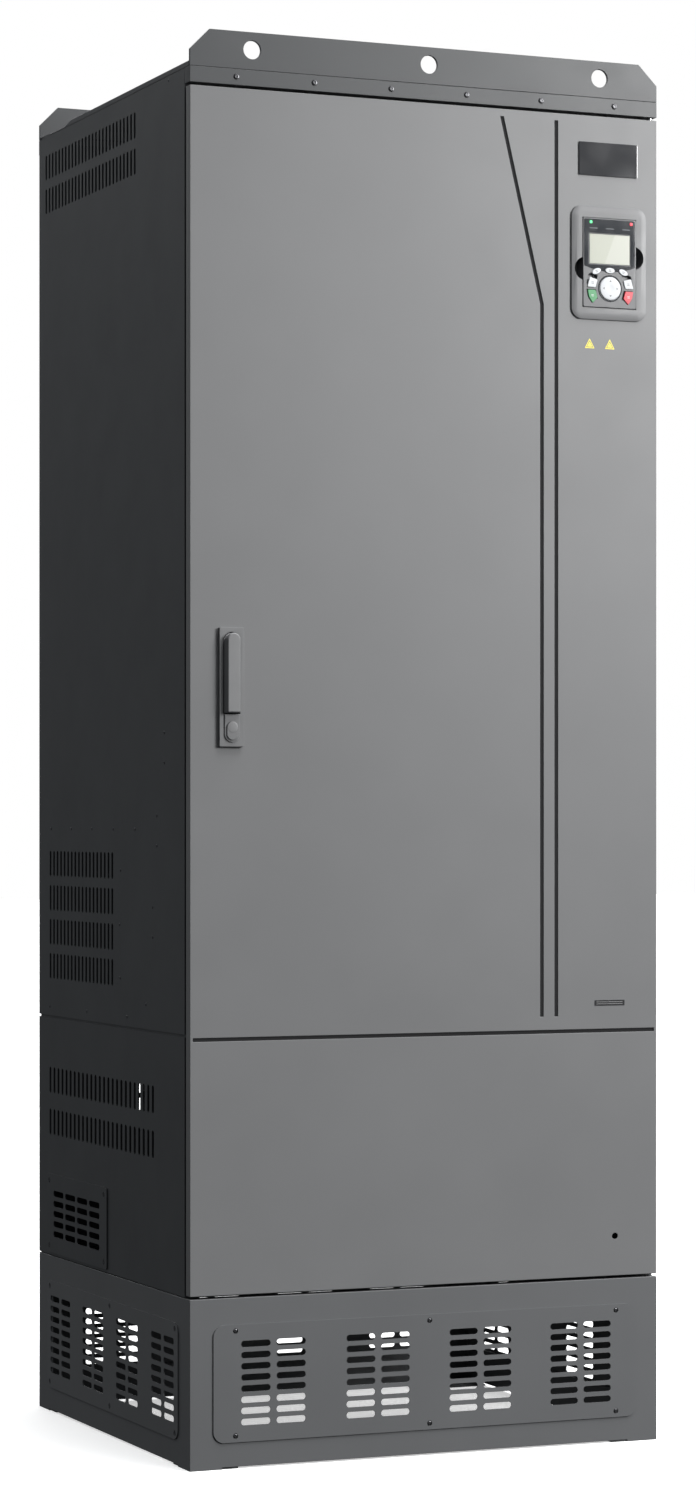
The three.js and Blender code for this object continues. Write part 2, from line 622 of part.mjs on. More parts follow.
function doorPan() {
  const t = sheet.door;
  const z = [doorBottom, doorTop];
  const body = block([-doorSide, doorSide], [0, door.depth], z);
  const hollow = block(
    [-doorSide + t, doorSide - t],
    [t, door.depth + past],
    [doorBottom + t, doorTop - t],
  );
  const grooveY = [-past, groove.depth];
  const through = [-past, t + past];
  const top = doorTop - groove.fromTop;
  const bottom = doorBottom + groove.crossAbove + groove.above;
  const knee = top - grooveRun.slantHeight;
  const half = groove.width / 2;
  const [left, right] = [doorSide - grooveRun.left, doorSide - grooveRun.right];
  const bent = polygon([
    [left - half, bottom],
    [left + half, bottom],
    [left + half, knee],
    [left + half - grooveRun.slant, top],
    [left - half - grooveRun.slant, top],
    [left - half, knee],
  ]);
  const crossZ = doorBottom + groove.crossAbove;
  const crossX = doorSide - groove.crossInset;
  const keypadHole = [
    about(keypadX, bezelBody + gap),
    through,
    about(keypadZ, pocketHeight + bezel.wall + gap),
  ];
  const cutouts = [
    facingFront(bent, grooveY),
    block(about(right, half), grooveY, [bottom, top]),
    block([-crossX, crossX], grooveY, about(crossZ, half)),
    block(...keypadHole),
    rod("y", through, [handleX, spindleZ], spindle.boss + gap),
    rod("y", through, [handleX, barrelZ], lockBody.width / 2 - lockBody.tunnelRim),
    rod("y", through, [doorSide - lockHole.fromSide, doorBottom + lockHole.above], lockHole.radius, 12),
    rod("z", [doorBottom - past, doorTop + past], hingePlace, hinge.pinRadius + gap, 12),
  ];
  let solid = toSolid(body).subtract(joined([hollow, ...cutouts]));
  for (const z0 of [rodBottom + rodGuide.fromEnd, rodTop - rodGuide.fromEnd]) {
    solid = solid.add(toSolid(rodBracket(z0)));
  }
  return toGeometry(solid);
}

// A bracket welded to the back of the door, with a hole that a lock rod slides through.
function rodBracket(z) {
  const back = rodY + lockRod.radius + rodGuide.rim;
  const body = block(
    about(handleX, rodGuide.width / 2),
    [sheet.door - weld, back],
    about(z, rodGuide.height / 2),
  );
  return cut(body, rod("z", about(z, rodGuide.height), [handleX, rodY], lockRod.radius + gap, 12));
}

function doorGasket() {
  const outer = doorSide - gasket.fromSide;
  const inner = outer - gasket.width;
  const outline = rectangle([-outer, outer], [doorBottom + gasket.fromEnd, doorTop - gasket.fromEnd]);
  outline.holes.push(
    rectangle(
      [-inner, inner],
      [doorBottom + gasket.fromEnd + gasket.width, doorTop - gasket.fromEnd - gasket.width],
    ),
  );
  return facingFront(outline, [sheet.door + gap, frameFront - gap]);
}

// A hinge pin hangs in the fascia's shelf at the top, and stands in the plinth's flange at the bottom.
function hingePin(seat, tip) {
  const end = seat + Math.sign(seat - tip) * hingeHead.height;
  const shank = rod("z", [Math.min(end, tip), Math.max(end, tip)], hingePlace, hinge.pinRadius, 12);
  const head = rod("z", [Math.min(end, seat), Math.max(end, seat)], hingePlace, hingeHead.radius, 12);
  return join(shank, head);
}

// The door's reinforcing block, which turns on the pin.
function hingeBush(z) {
  const [x, y] = hingePlace;
  const across = [x - hinge.bush / 2, doorSide - sheet.door - gap];
  const body = block(across, [sheet.door + gap, y + hinge.bush / 2], z);
  return cut(body, rod("z", [z[0] - past, z[1] + past], [x, y], hinge.pinRadius + hinge.clearance, 16));
}

function addDoor(parent) {
  add(parent, "door", doorPan(), colour.graphite, 0.5, 0.3);
  add(parent, "door_gasket", doorGasket(), colour.rubber, 0.9);
  const plate = block(
    about(doorSide - namePlate.fromSide, namePlate.width / 2),
    [-gap - namePlate.thickness, -gap],
    about(doorTop - namePlate.below, namePlate.height / 2),
  );
  add(parent, "name_plate", plate, colour.blackPlastic, 0.2);
  const shelfTop = frameTop - frame.fascia + sheet.frame;
  const flangeBottom = plinth.height - sheet.plinth;
  const upperTip = doorTop - hinge.reach;
  const lowerTip = doorBottom + hinge.reach;
  const bushTop = [doorTop - sheet.door - gap - hinge.reach, doorTop - sheet.door - gap];
  const bushBottom = [doorBottom + sheet.door + gap, doorBottom + sheet.door + gap + hinge.reach];
  add(parent, "upper_hinge_pin", hingePin(shelfTop + gap, upperTip), colour.steel, 0.3, 1);
  add(parent, "lower_hinge_pin", hingePin(flangeBottom - gap, lowerTip), colour.steel, 0.3, 1);
  add(parent, "upper_hinge_bush", hingeBush(bushTop), colour.steel, 0.4, 1);
  add(parent, "lower_hinge_bush", hingeBush(bushBottom), colour.steel, 0.4, 1);
}

// ---------------------------------------------------------------- swing handle and lock rods

// An upright outline with a round top about (x, z), as wide as the arch and down to a given bottom.
function arch(x, z, radius, bottom) {
  const shape = new THREE.Shape();
  shape.moveTo(x - radius, bottom);
  shape.lineTo(x + radius, bottom);
  shape.absarc(x, z, radius, 0, Math.PI);
  return shape;
}

// The same with a round bottom about (x, z), up to a given top.
function tongue(x, z, radius, top) {
  const shape = new THREE.Shape();
  shape.moveTo(x + radius, top);
  shape.lineTo(x - radius, top);
  shape.absarc(x, z, radius, Math.PI, Math.PI * 2);
  return shape;
}

function handleBase() {
  const plate = block(
    about(handleX, handle.width / 2),
    [-handle.proud, -gap],
    about(handleZ, handle.height / 2),
  );
  const dish = facingFront(
    arch(handleX, spindleZ, recess.width / 2, leverBottom - lever.endGap),
    [-handle.proud - past, -handle.proud + recess.depth],
    8,
  );
  const lock = facingFront(
    tongue(handleX, barrelZ, lockBody.width / 2, lockTop),
    [-lockBody.proud, -gap - weld],
    8,
  );
  const front = -lockBody.proud - past;
  const boss = rod("y", [-gap - weld, spindle.bossDepth], [handleX, spindleZ], spindle.boss);
  const bore = rod("y", [front, spindle.bossDepth + past], [handleX, spindleZ], spindle.radius + gap);
  const barrelBore = rod("y", [front, past], [handleX, barrelZ], barrel.radius + gap);
  const rivetHole = rod("y", [front, past], [handleX, lockCoverZ], lockBody.rivet + gap, 10);
  const body = toSolid(plate).subtract(toSolid(dish)).add(joined([lock, boss]));
  return toGeometry(body.subtract(joined([bore, barrelBore, rivetHole])));
}

// The hub turns in the dish; its lug carries the lever's pin, and its shaft carries the cam.
function handleHub() {
  const axis = [handleX, spindleZ];
  const disc = rod("y", [hubBack - spindle.disc, hubBack], axis, lever.width / 2);
  const shaft = rod("y", [hubBack - weld, lockCam.start + lockCam.thickness], axis, spindle.radius);
  const lugFront = leverPivotY - leverPin.radius + weld;
  const lug = block(about(handleX, leverPin.lug), [lugFront, hubBack - weld], about(spindleZ, leverPin.lug));
  const pin = rod("x", about(handleX, leverPin.reach), [leverPivotY, spindleZ], leverPin.radius, 10);
  return join(disc, shaft, lug, pin);
}

function handleLever() {
  const face = leverBack - lever.rise;
  const top = lever.width / 2;
  // Seen from the side, relieved behind its upper end so that the lever can lift.
  const side = polygon([
    [leverBack, leverBottom],
    [leverBack, spindleZ + leverEnd.relief],
    [face + leverEnd.round, spindleZ + top],
    [face, spindleZ + top - leverEnd.round],
    [face, leverBottom],
  ]);
  const body = toSolid(facingSide(side, about(handleX, lever.width / 2)));
  const outline = facingFront(
    arch(handleX, spindleZ, lever.width / 2, leverBottom),
    [face - past, leverBack + past],
    8,
  );
  const narrowing = (lever.width - lever.faceWidth) / 2;
  const drafts = sides.map(([, across]) => {
    const edge = handleX + (across * lever.width) / 2;
    const wedge = polygon([
      [edge + across * past, face - past],
      [edge - across * narrowing, face - past],
      [edge - across * narrowing, face],
      [edge, leverBack - past],
      [edge + across * past, leverBack - past],
    ]);
    return facingUp(wedge, [leverBottom - past, spindleZ + top + past]);
  });
  const slot = block(
    about(handleX, leverPin.lug + gap),
    [leverPivotY - leverPin.radius - weld, leverBack + past],
    about(spindleZ, leverPin.lug + leverPin.slotMargin),
  );
  const pinLength = about(handleX, leverPin.reach + gap);
  const pinBore = rod("x", pinLength, [leverPivotY, spindleZ], leverPin.radius + gap, 10);
  const solid = body.intersect(toSolid(outline));
  return toGeometry(solid.subtract(joined([...drafts, slot, pinBore])));
}

// The dust cover hangs from its rivet in front of the key barrel and swings aside.
function lockCover() {
  const front = -lockBody.proud - gap - lockTab.thickness;
  const shape = new THREE.Shape();
  shape.absarc(handleX, lockCoverZ, lockTab.radius, 0, Math.PI);
  shape.absarc(handleX, barrelZ, lockTab.radius, Math.PI, Math.PI * 2);
  const plate = facingFront(shape, [front, -lockBody.proud - gap], 8);
  const rivetEnd = lockBody.rivetDepth - lockBody.proud;
  const rivet = rod("y", [front + weld, rivetEnd], [handleX, lockCoverZ], lockBody.rivet, 10);
  return join(plate, rivet);
}

function lockBarrel() {
  const body = rod("y", [-lockBody.proud + barrel.sunk, weld], [handleX, barrelZ], barrel.radius);
  const keyway = block(
    about(handleX, barrel.keyWidth / 2),
    [-lockBody.proud - past, barrel.keyDepth - lockBody.proud],
    about(barrelZ, barrel.keyHeight / 2),
  );
  return cut(body, keyway);
}

function lockCamPlate() {
  const y = [lockCam.start, lockCam.start + lockCam.thickness];
  const disc = rod("y", y, [handleX, spindleZ], lockCam.radius);
  const reach = frameSide - frame.flange - lockCam.shortBy;
  const blade = block([-reach, handleX], y, about(spindleZ, lockCam.tongueWidth / 2));
  const bore = rod("y", [y[0] - past, y[1] + past], [handleX, spindleZ], spindle.radius + gap);
  return toGeometry(joined([disc, blade]).subtract(toSolid(bore)));
}

function addHandle(parent) {
  add(parent, "handle_base", handleBase(), colour.greyPlastic, 0.5);
  add(parent, "handle_hub", handleHub(), colour.zinc, 0.35, 0.9);
  add(parent, "handle_lever", handleLever(), colour.greyPlastic, 0.45);
  add(parent, "lock_cover", lockCover(), colour.greyPlastic, 0.45);
  add(parent, "lock_barrel", lockBarrel(), colour.zinc, 0.3, 1);
  add(parent, "lock_cam", lockCamPlate(), colour.zinc, 0.35, 0.9);
  const place = [handleX, rodY];
  const upper = rod("z", [spindleZ + lockRod.fromSpindle, rodTop], place, lockRod.radius, 12);
  const lower = rod("z", [rodBottom, spindleZ - lockRod.fromSpindle], place, lockRod.radius, 12);
  add(parent, "upper_lock_rod", upper, colour.zinc, 0.35, 0.9);
  add(parent, "lower_lock_rod", lower, colour.zinc, 0.35, 0.9);
}

// ---------------------------------------------------------------- keypad

// A frame with sloped edges round the keypad's pocket, with a round notch for a finger at each side.
function keypadBezel() {
  const ledgeX = keypad.width / 2 + bezel.border - bezel.slope;
  const ledgeZ = keypadHeight / 2 + bezel.border - bezel.slope;
  const ledge = roundedRectangle([-ledgeX, ledgeX], [-ledgeZ, ledgeZ], bezel.corner);
  const sloped = new THREE.ExtrudeGeometry(ledge, {
    depth: bezel.proud - gap - 2 * bezel.slopeRise,
    bevelEnabled: true,
    bevelThickness: bezel.slopeRise,
    bevelSize: bezel.slope,
    bevelSegments: 1,
    curveSegments: 4,
  });
  const start = -gap - bezel.slopeRise;
  const flange = sloped.rotateX(Math.PI / 2).translate(keypadX, start, keypadZ);
  const behind = [start, pocketDepth + bezel.wall];
  const opening = [-bezel.proud - past, pocketDepth];
  const tray = block(
    about(keypadX, pocketWidth + bezel.wall),
    behind,
    about(keypadZ, pocketHeight + bezel.wall),
  );
  const pocket = block(about(keypadX, pocketWidth), opening, about(keypadZ, pocketHeight));
  const notches = sides.map(([, side]) => [
    keypadX + side * (pocketWidth - fingerNotch.offset),
    keypadZ + side * fingerNotch.lift,
  ]);
  const wells = notches.map((place) => rod("y", behind, place, fingerNotch.radius + bezel.wall, 24));
  const scoops = notches.map((place) => rod("y", opening, place, fingerNotch.radius, 24));
  return toGeometry(joined([flange, tray, ...wells]).subtract(joined([pocket, ...scoops])));
}

// The keys, measured from the middle of the keypad's lower edge.
const oval = { halfWidth: 6.4, halfHeight: 3.4, tilt: 0.38, apart: 18.45, height: 45.6, drop: 1.5 };
const navigation = { x: 0.6, height: 23.6, radius: 14.3 };
const corner = { outer: 31.2, inner: 19.6, point: 24.5, side: 10.2, tip: 12, lean: 2.5, tipDrop: 1.6 };
const cornerBase = { upper: 28.8, lower: 21.1 };

const ellipse = (x, z, halfWidth, halfHeight, turn = 0) => {
  const shape = new THREE.Shape();
  shape.absellipse(x, z, halfWidth, halfHeight, 0, Math.PI * 2, false, turn);
  return shape;
};

const ovalKey = (side, grow) => {
  const z = oval.height - (side === 0 ? 0 : oval.drop);
  return ellipse(side * oval.apart, z, oval.halfWidth + grow, oval.halfHeight + grow, -side * oval.tilt);
};

// A key beside the navigation pad, with a point away from its straight base.
function cornerKey(side, base, up, grow) {
  const flat = base - up * grow;
  const far = base + up * (corner.side + grow);
  const near = base + up * (corner.tip + grow);
  const outer = side * (corner.outer + grow);
  const inner = side * (corner.inner - grow);
  return polygon([
    [outer, flat],
    [inner, flat],
    [inner - side * corner.lean, far],
    [side * (corner.point + grow), near],
    [outer - side * corner.lean, near - up * corner.tipDrop],
  ]);
}

// Each key's outline, grown by a clearance for its hole.
const keys = {
  left_function_key: (grow) => ovalKey(-1, grow),
  middle_function_key: (grow) => ovalKey(0, grow),
  right_function_key: (grow) => ovalKey(1, grow),
  navigation_pad: (grow) =>
    ellipse(navigation.x, navigation.height, navigation.radius + grow, navigation.radius + grow),
  upper_left_key: (grow) => cornerKey(-1, cornerBase.upper, 1, grow),
  upper_right_key: (grow) => cornerKey(1, cornerBase.upper, 1, grow),
  run_key: (grow) => cornerKey(-1, cornerBase.lower, -1, grow),
  stop_key: (grow) => cornerKey(1, cornerBase.lower, -1, grow),
};

const onKeypad = (shape, y, segments) =>
  facingFront(shape, y, segments).scale(keyScale, 1, keyScale).translate(keypadX, 0, keypadBottom);

function keypadBody() {
  const shell = facingFront(
    roundedRectangle(about(keypadX, keypad.width / 2), about(keypadZ, keypadHeight / 2), keypad.corner),
    [keyFace, pocketDepth - gap],
    2,
  );
  const holeEnd = keyFace - key.proud + key.depth + key.travel + key.clearance;
  const holes = Object.values(keys).map((outline) =>
    onKeypad(outline(key.clearance), [keyFace - past, holeEnd], 4),
  );
  const window = block(
    about(keypadX, screenHalf + gap),
    [keyFace - past, keyFace + screen.depth + gap],
    about(keypadZ + screen.above, screen.height / 2 + gap),
  );
  return cut(shell, window, ...holes);
}

function addKeypad(parent) {
  add(parent, "keypad_bezel", keypadBezel(), colour.greyPlastic, 0.5);
  add(parent, "keypad_body", keypadBody(), colour.blackPlastic, 0.35);
  const glass = block(
    about(keypadX, screenHalf),
    [keyFace, keyFace + screen.depth],
    about(keypadZ + screen.above, screen.height / 2),
  );
  add(parent, "keypad_screen", glass, colour.lcd, 0.15);
  const keyColour = { run_key: colour.green, stop_key: colour.red };
  for (const [name, outline] of Object.entries(keys)) {
    const cap = onKeypad(outline(0), [keyFace - key.proud, keyFace - key.proud + key.depth], 4);
    add(parent, name, cap, keyColour[name] ?? colour.white, 0.45);
  }
}

// ---------------------------------------------------------------- power stage inside

// The wall between the modules and the air duct, with the deck that the fans stand on.
function ductWallSheet() {
  const half = frameSide - ductWall.fromSide;
  const y = [ductWall.back - sheet.inner, ductWall.back];
  const wall = rectangle([-half, half], [railTop, deckZ]);
  const cutHalf = sinkHalf - sink.rim;
  wall.holes.push(rectangle([-cutHalf, cutHalf], [sinkBottom + sink.rim, sinkTop - sink.rim]));
  const deck = rectangle([-half, half], [y[0], deckBack]);
  for (const [, side] of sides) {
    deck.holes.push(roundHole(side * fanX, fanY, fanBore));
  }
  return join(facingFront(wall, y), facingUp(deck, [deckZ - sheet.inner, deckZ], 6));
}

// An extruded heat sink: a thick base with fins that reach back into the air duct.
function heatSink() {
  const finHalf = sinkHalf - sink.rim - sink.fin / 2;
  const count = Math.floor((2 * finHalf) / sink.finPitch);
  const root = sinkFace + sink.base;
  const tip = root + sink.finDepth;
  const outline = [
    [-sinkHalf, sinkFace],
    [sinkHalf, sinkFace],
    [sinkHalf, root],
  ];
  for (const x of spread(0, sink.finPitch, count).reverse()) {
    outline.push([x + sink.fin / 2, root], [x + sink.fin / 2, tip]);
    outline.push([x - sink.fin / 2, tip], [x - sink.fin / 2, root]);
  }
  outline.push([-sinkHalf, root]);
  const comb = facingUp(polygon(outline), [sinkBottom, sinkTop]);
  // The fins stop short of the base's upper and lower rims, which seat on the duct wall.
  const rims = [
    [sinkBottom - past, sinkBottom + sink.rim + past],
    [sinkTop - sink.rim - past, sinkTop + past],
  ].map((z) => block([-sinkHalf, sinkHalf], [root, tip + past], z));
  return cut(comb, ...rims);
}

// A power module's case, screwed to the heat sink, with a step at each end for its terminals.
function powerModule(width, height, depth, x, z) {
  const y = [sinkFace - gap - depth, sinkFace - gap];
  const body = block(about(x, width / 2), y, about(z, height / 2));
  const shoulders = [-1, 1].map((end) =>
    block(
      about(x, width / 2 + past),
      [y[0] - past, y[0] + shoulder.depthShare * depth],
      about(z + (end * height) / 2, shoulder.heightShare * height),
    ),
  );
  return cut(body, ...shoulders);
}

function capacitorBank() {
  const half = frameSide - capacitor.fromSide;
  const columns = Math.floor((2 * half) / capacitor.pitch);
  const plateBack = ductWall.back - sheet.inner - gap;
  const plateFront = plateBack - capacitor.plate;
  const middle = capacitorTop - capacitorHeight / 2;
  const parts = [block([-half, half], [plateFront, plateBack], about(middle, capacitorHeight / 2))];
  for (const x of spread(0, capacitor.pitch, columns)) {
    for (const z of spread(middle, capacitor.rowPitch, capacitor.rows)) {
      parts.push(rod("y", [plateFront - capacitor.length, plateFront + weld], [x, z], capacitor.radius, 16));
    }
  }
  return join(...parts);
}

function dcBusPlate() {
  const front = sinkFace - gap - rectifier.depth - busPlate.standoff;
  const half = frameSide - busPlate.fromSide;
  const outline = rectangle([-half, half], [rectifierZ, sinkTop]);
  return facingFront(outline, [front - busPlate.thickness, front]);
}

function boardTraySheet() {
  const half = frameSide - boardTray.fromSide;
  const z = [trayBottom, trayTop];
  const back = sinkFace - gap;
  const body = block([-half, half], [boardTray.front, back], z);
  const inner = half - sheet.inner;
  const depth = [boardTray.front + sheet.inner, back + past];
  return cut(body, block([-inner, inner], depth, [z[0] - past, z[1] + past]));
}

function circuitBoard(x, z, width, height) {
  const back = boardTray.front - gap;
  const front = back - controlBoard.standoff;
  const plate = block(
    about(x, width / 2),
    [front - controlBoard.thickness, front],
    about(z, height / 2),
  );
  const posts = [];
  for (const px of spread(x, width - 2 * controlBoard.postInset, 2)) {
    for (const pz of spread(z, height - 2 * controlBoard.postInset, 2)) {
      posts.push(rod("y", [front - weld, back], [px, pz], controlBoard.post, 8));
    }
  }
  return join(plate, ...posts);
}

// A moulded three-pole terminal block with ribs between its poles.
function terminalBlock(side) {
  const back = ductWall.back - sheet.inner - 2 * gap - sheet.frame;
  const x = side * fromMiddle;
  const front = back - terminal.depth;
  const body = block(about(x, terminal.width / 2), [front, back], about(seam.height, terminal.height / 2));
  const ribs = spread(x, (terminal.width - terminal.rib) / 3, 4).map((ribX) =>
    block(
      about(ribX, terminal.rib / 2),
      [front - terminal.ribDepth, front + weld],
      about(seam.height, terminal.height / 2),
    ),
  );
  return join(body, ...ribs);
}

// A fan's square frame with its round bore, and the motor seat on three arms. Its origin is on the deck.
function fanHousing() {
  const half = fanSize / 2;
  const outline = roundedRectangle([-half, half], [-half, half], fanFrame.corner);
  outline.holes.push(roundHole(0, 0, fanBore));
  const armZ = [0, fanFrame.armHeight];
  const parts = [facingUp(outline, [0, fan.height], 7), rod("z", armZ, [0, 0], fan.motor, 24)];
  for (let i = 0; i < fanFrame.arms; i++) {
    const arm = block([0, fanBore + weld], about(0, fanFrame.armWidth / 2), armZ);
    parts.push(arm.rotateZ((i * 2 * Math.PI) / fanFrame.arms));
  }
  return join(...parts);
}

// The fan's hub with its twisted blades, trimmed to a clearance inside the bore.
function fanImpeller() {
  const z = [fanFrame.armHeight + blade.below, fan.height - blade.above];
  const inner = fan.motor - blade.rootOverlap;
  const parts = [rod("z", z, [0, 0], fan.motor - 2, 24)];
  for (let i = 0; i < fan.blades; i++) {
    const body = new THREE.BoxGeometry(fanTip - inner, blade.chord, blade.thickness);
    body.rotateX(blade.pitchAngle).translate((fanTip + inner) / 2, 0, (z[0] + z[1]) / 2);
    parts.push(body.rotateZ((i * 2 * Math.PI) / fan.blades));
  }
  const envelope = rod("z", z, [0, 0], fanTip, 32);
  return toGeometry(joined(parts).intersect(toSolid(envelope)));
}

function addPowerStage(parent) {
  add(parent, "duct_wall", ductWallSheet(), colour.zinc, 0.4, 0.8);
  add(parent, "heat_sink", heatSink(), colour.aluminium, 0.45, 0.9);
  ["u", "v", "w"].forEach((phase, i) => {
    const module = powerModule(igbt.width, igbtHeight, igbt.depth, (i - 1) * igbt.pitch, moduleZ);
    add(parent, `igbt_module_${phase}`, module, colour.cream, 0.6);
  });
  const bridge = powerModule(rectifier.width, rectifierHeight, rectifier.depth, 0, rectifierZ);
  add(parent, "rectifier_module", bridge, colour.blackPlastic, 0.6);
  add(parent, "capacitor_bank", capacitorBank(), colour.aluminium, 0.4, 0.6);
  add(parent, "dc_bus_plate", dcBusPlate(), colour.copper, 0.35, 0.9);
  add(parent, "board_tray", boardTraySheet(), colour.zinc, 0.4, 0.8);
  const board = circuitBoard(0, (trayBottom + trayTop) / 2, controlBoard.width, controlBoard.height);
  add(parent, "control_board", board, colour.board, 0.5);
  add(parent, "input_terminal_block", terminalBlock(-1), colour.blackPlastic, 0.6);
  add(parent, "output_terminal_block", terminalBlock(1), colour.blackPlastic, 0.6);
  for (const [name, side] of sides) {
    const unit = assembly(parent, `${name}_fan`, [side * fanX, fanY, deckZ + gap]);
    add(unit, `${name}_fan_housing`, fanHousing(), colour.blackPlastic, 0.6);
    add(unit, `${name}_fan_impeller`, fanImpeller(), colour.blackPlastic, 0.6);
  }
}

// ---------------------------------------------------------------- the whole drive

const drive = new THREE.Group();
drive.name = "variable_frequency_drive";
addPlinth(assembly(drive, "plinth"));
addCabinet(assembly(drive, "cabinet"));
const doorGroup = assembly(drive, "door_assembly");
addDoor(doorGroup);
addHandle(assembly(doorGroup, "swing_handle"));
addKeypad(assembly(doorGroup, "keypad"));
addPowerStage(assembly(drive, "power_stage"));

// The lever stands in front of the door, so the middle of the base lies behind the cabinet's middle.
const handleReach = handle.proud + lever.gap + lever.rise;
drive.position.y = (handleReach - cabinet.depth) / 2;

export default drive;
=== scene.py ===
"""Looks for a floor-standing variable frequency drive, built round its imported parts.

Metres, +Z up, the door facing -Y. Sizes of small detail are written in millimetres and turned into
metres by MM. Each sub-assembly is a class: its sizes are dataclass fields, and its methods make and
dress its pieces.
"""

import json
import logging
import math
from dataclasses import dataclass, field
from enum import Enum
from itertools import product
from typing import Callable, Iterable, Sequence

import bmesh
import bpy
from mathutils import Matrix, Vector

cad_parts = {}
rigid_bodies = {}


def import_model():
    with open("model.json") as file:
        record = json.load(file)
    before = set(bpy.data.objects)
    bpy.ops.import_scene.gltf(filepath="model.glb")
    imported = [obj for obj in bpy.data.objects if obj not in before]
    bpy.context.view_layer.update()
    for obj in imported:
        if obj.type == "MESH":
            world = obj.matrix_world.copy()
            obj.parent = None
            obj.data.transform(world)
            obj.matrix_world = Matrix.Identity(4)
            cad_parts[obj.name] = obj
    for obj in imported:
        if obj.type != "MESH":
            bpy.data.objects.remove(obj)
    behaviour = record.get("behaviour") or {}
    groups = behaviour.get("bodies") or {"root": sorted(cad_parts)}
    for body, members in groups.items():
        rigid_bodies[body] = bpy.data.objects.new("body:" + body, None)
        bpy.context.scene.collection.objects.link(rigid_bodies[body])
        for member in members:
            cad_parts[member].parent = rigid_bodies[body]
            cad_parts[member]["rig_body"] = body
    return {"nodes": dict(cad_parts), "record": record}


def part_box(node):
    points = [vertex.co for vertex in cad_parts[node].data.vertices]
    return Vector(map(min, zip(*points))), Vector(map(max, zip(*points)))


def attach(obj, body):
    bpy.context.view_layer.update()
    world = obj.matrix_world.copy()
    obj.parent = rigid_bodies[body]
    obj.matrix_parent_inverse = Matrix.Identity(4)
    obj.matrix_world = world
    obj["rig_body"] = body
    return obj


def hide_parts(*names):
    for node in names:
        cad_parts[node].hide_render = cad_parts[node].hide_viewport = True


for startup_object in list(bpy.data.objects):
    bpy.data.objects.remove(startup_object)
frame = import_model()

LOG = logging.getLogger("drive")
MM = 0.001
# A full round's radius as a share of half its width, and a slot's end as a share of its width: each is
# just short of touching, so that no edge has length zero.
FULL_ROUND = 0.999
SLOT_END = 0.499

Point = tuple[float, float]
Colour = tuple[float, float, float]
Shape = bmesh.types.BMesh
Socket = bpy.types.NodeSocket
Material = bpy.types.Material


# ---------------------------------------------------------------- finishes


def feed(socket: Socket, value: object) -> None:
    """Gives a socket a constant, or links it to another socket.

    Args:
        socket: the input that is set.
        value: the constant or the other socket.
    """
    if isinstance(value, Socket):
        socket.id_data.links.new(value, socket)
    else:
        socket.default_value = value


def add_node(tree: bpy.types.NodeTree, kind: str, **inputs: object) -> bpy.types.Node:
    """Adds a shader node.

    Args:
        tree: what it is added to.
        kind: its type, without the prefix that all have.
        inputs: what its inputs are fed with, with _ for each space in a name.

    Returns:
        The node.
    """
    node = tree.nodes.new("ShaderNode" + kind)
    for name, value in inputs.items():
        feed(node.inputs[name.replace("_", " ")], value)
    return node


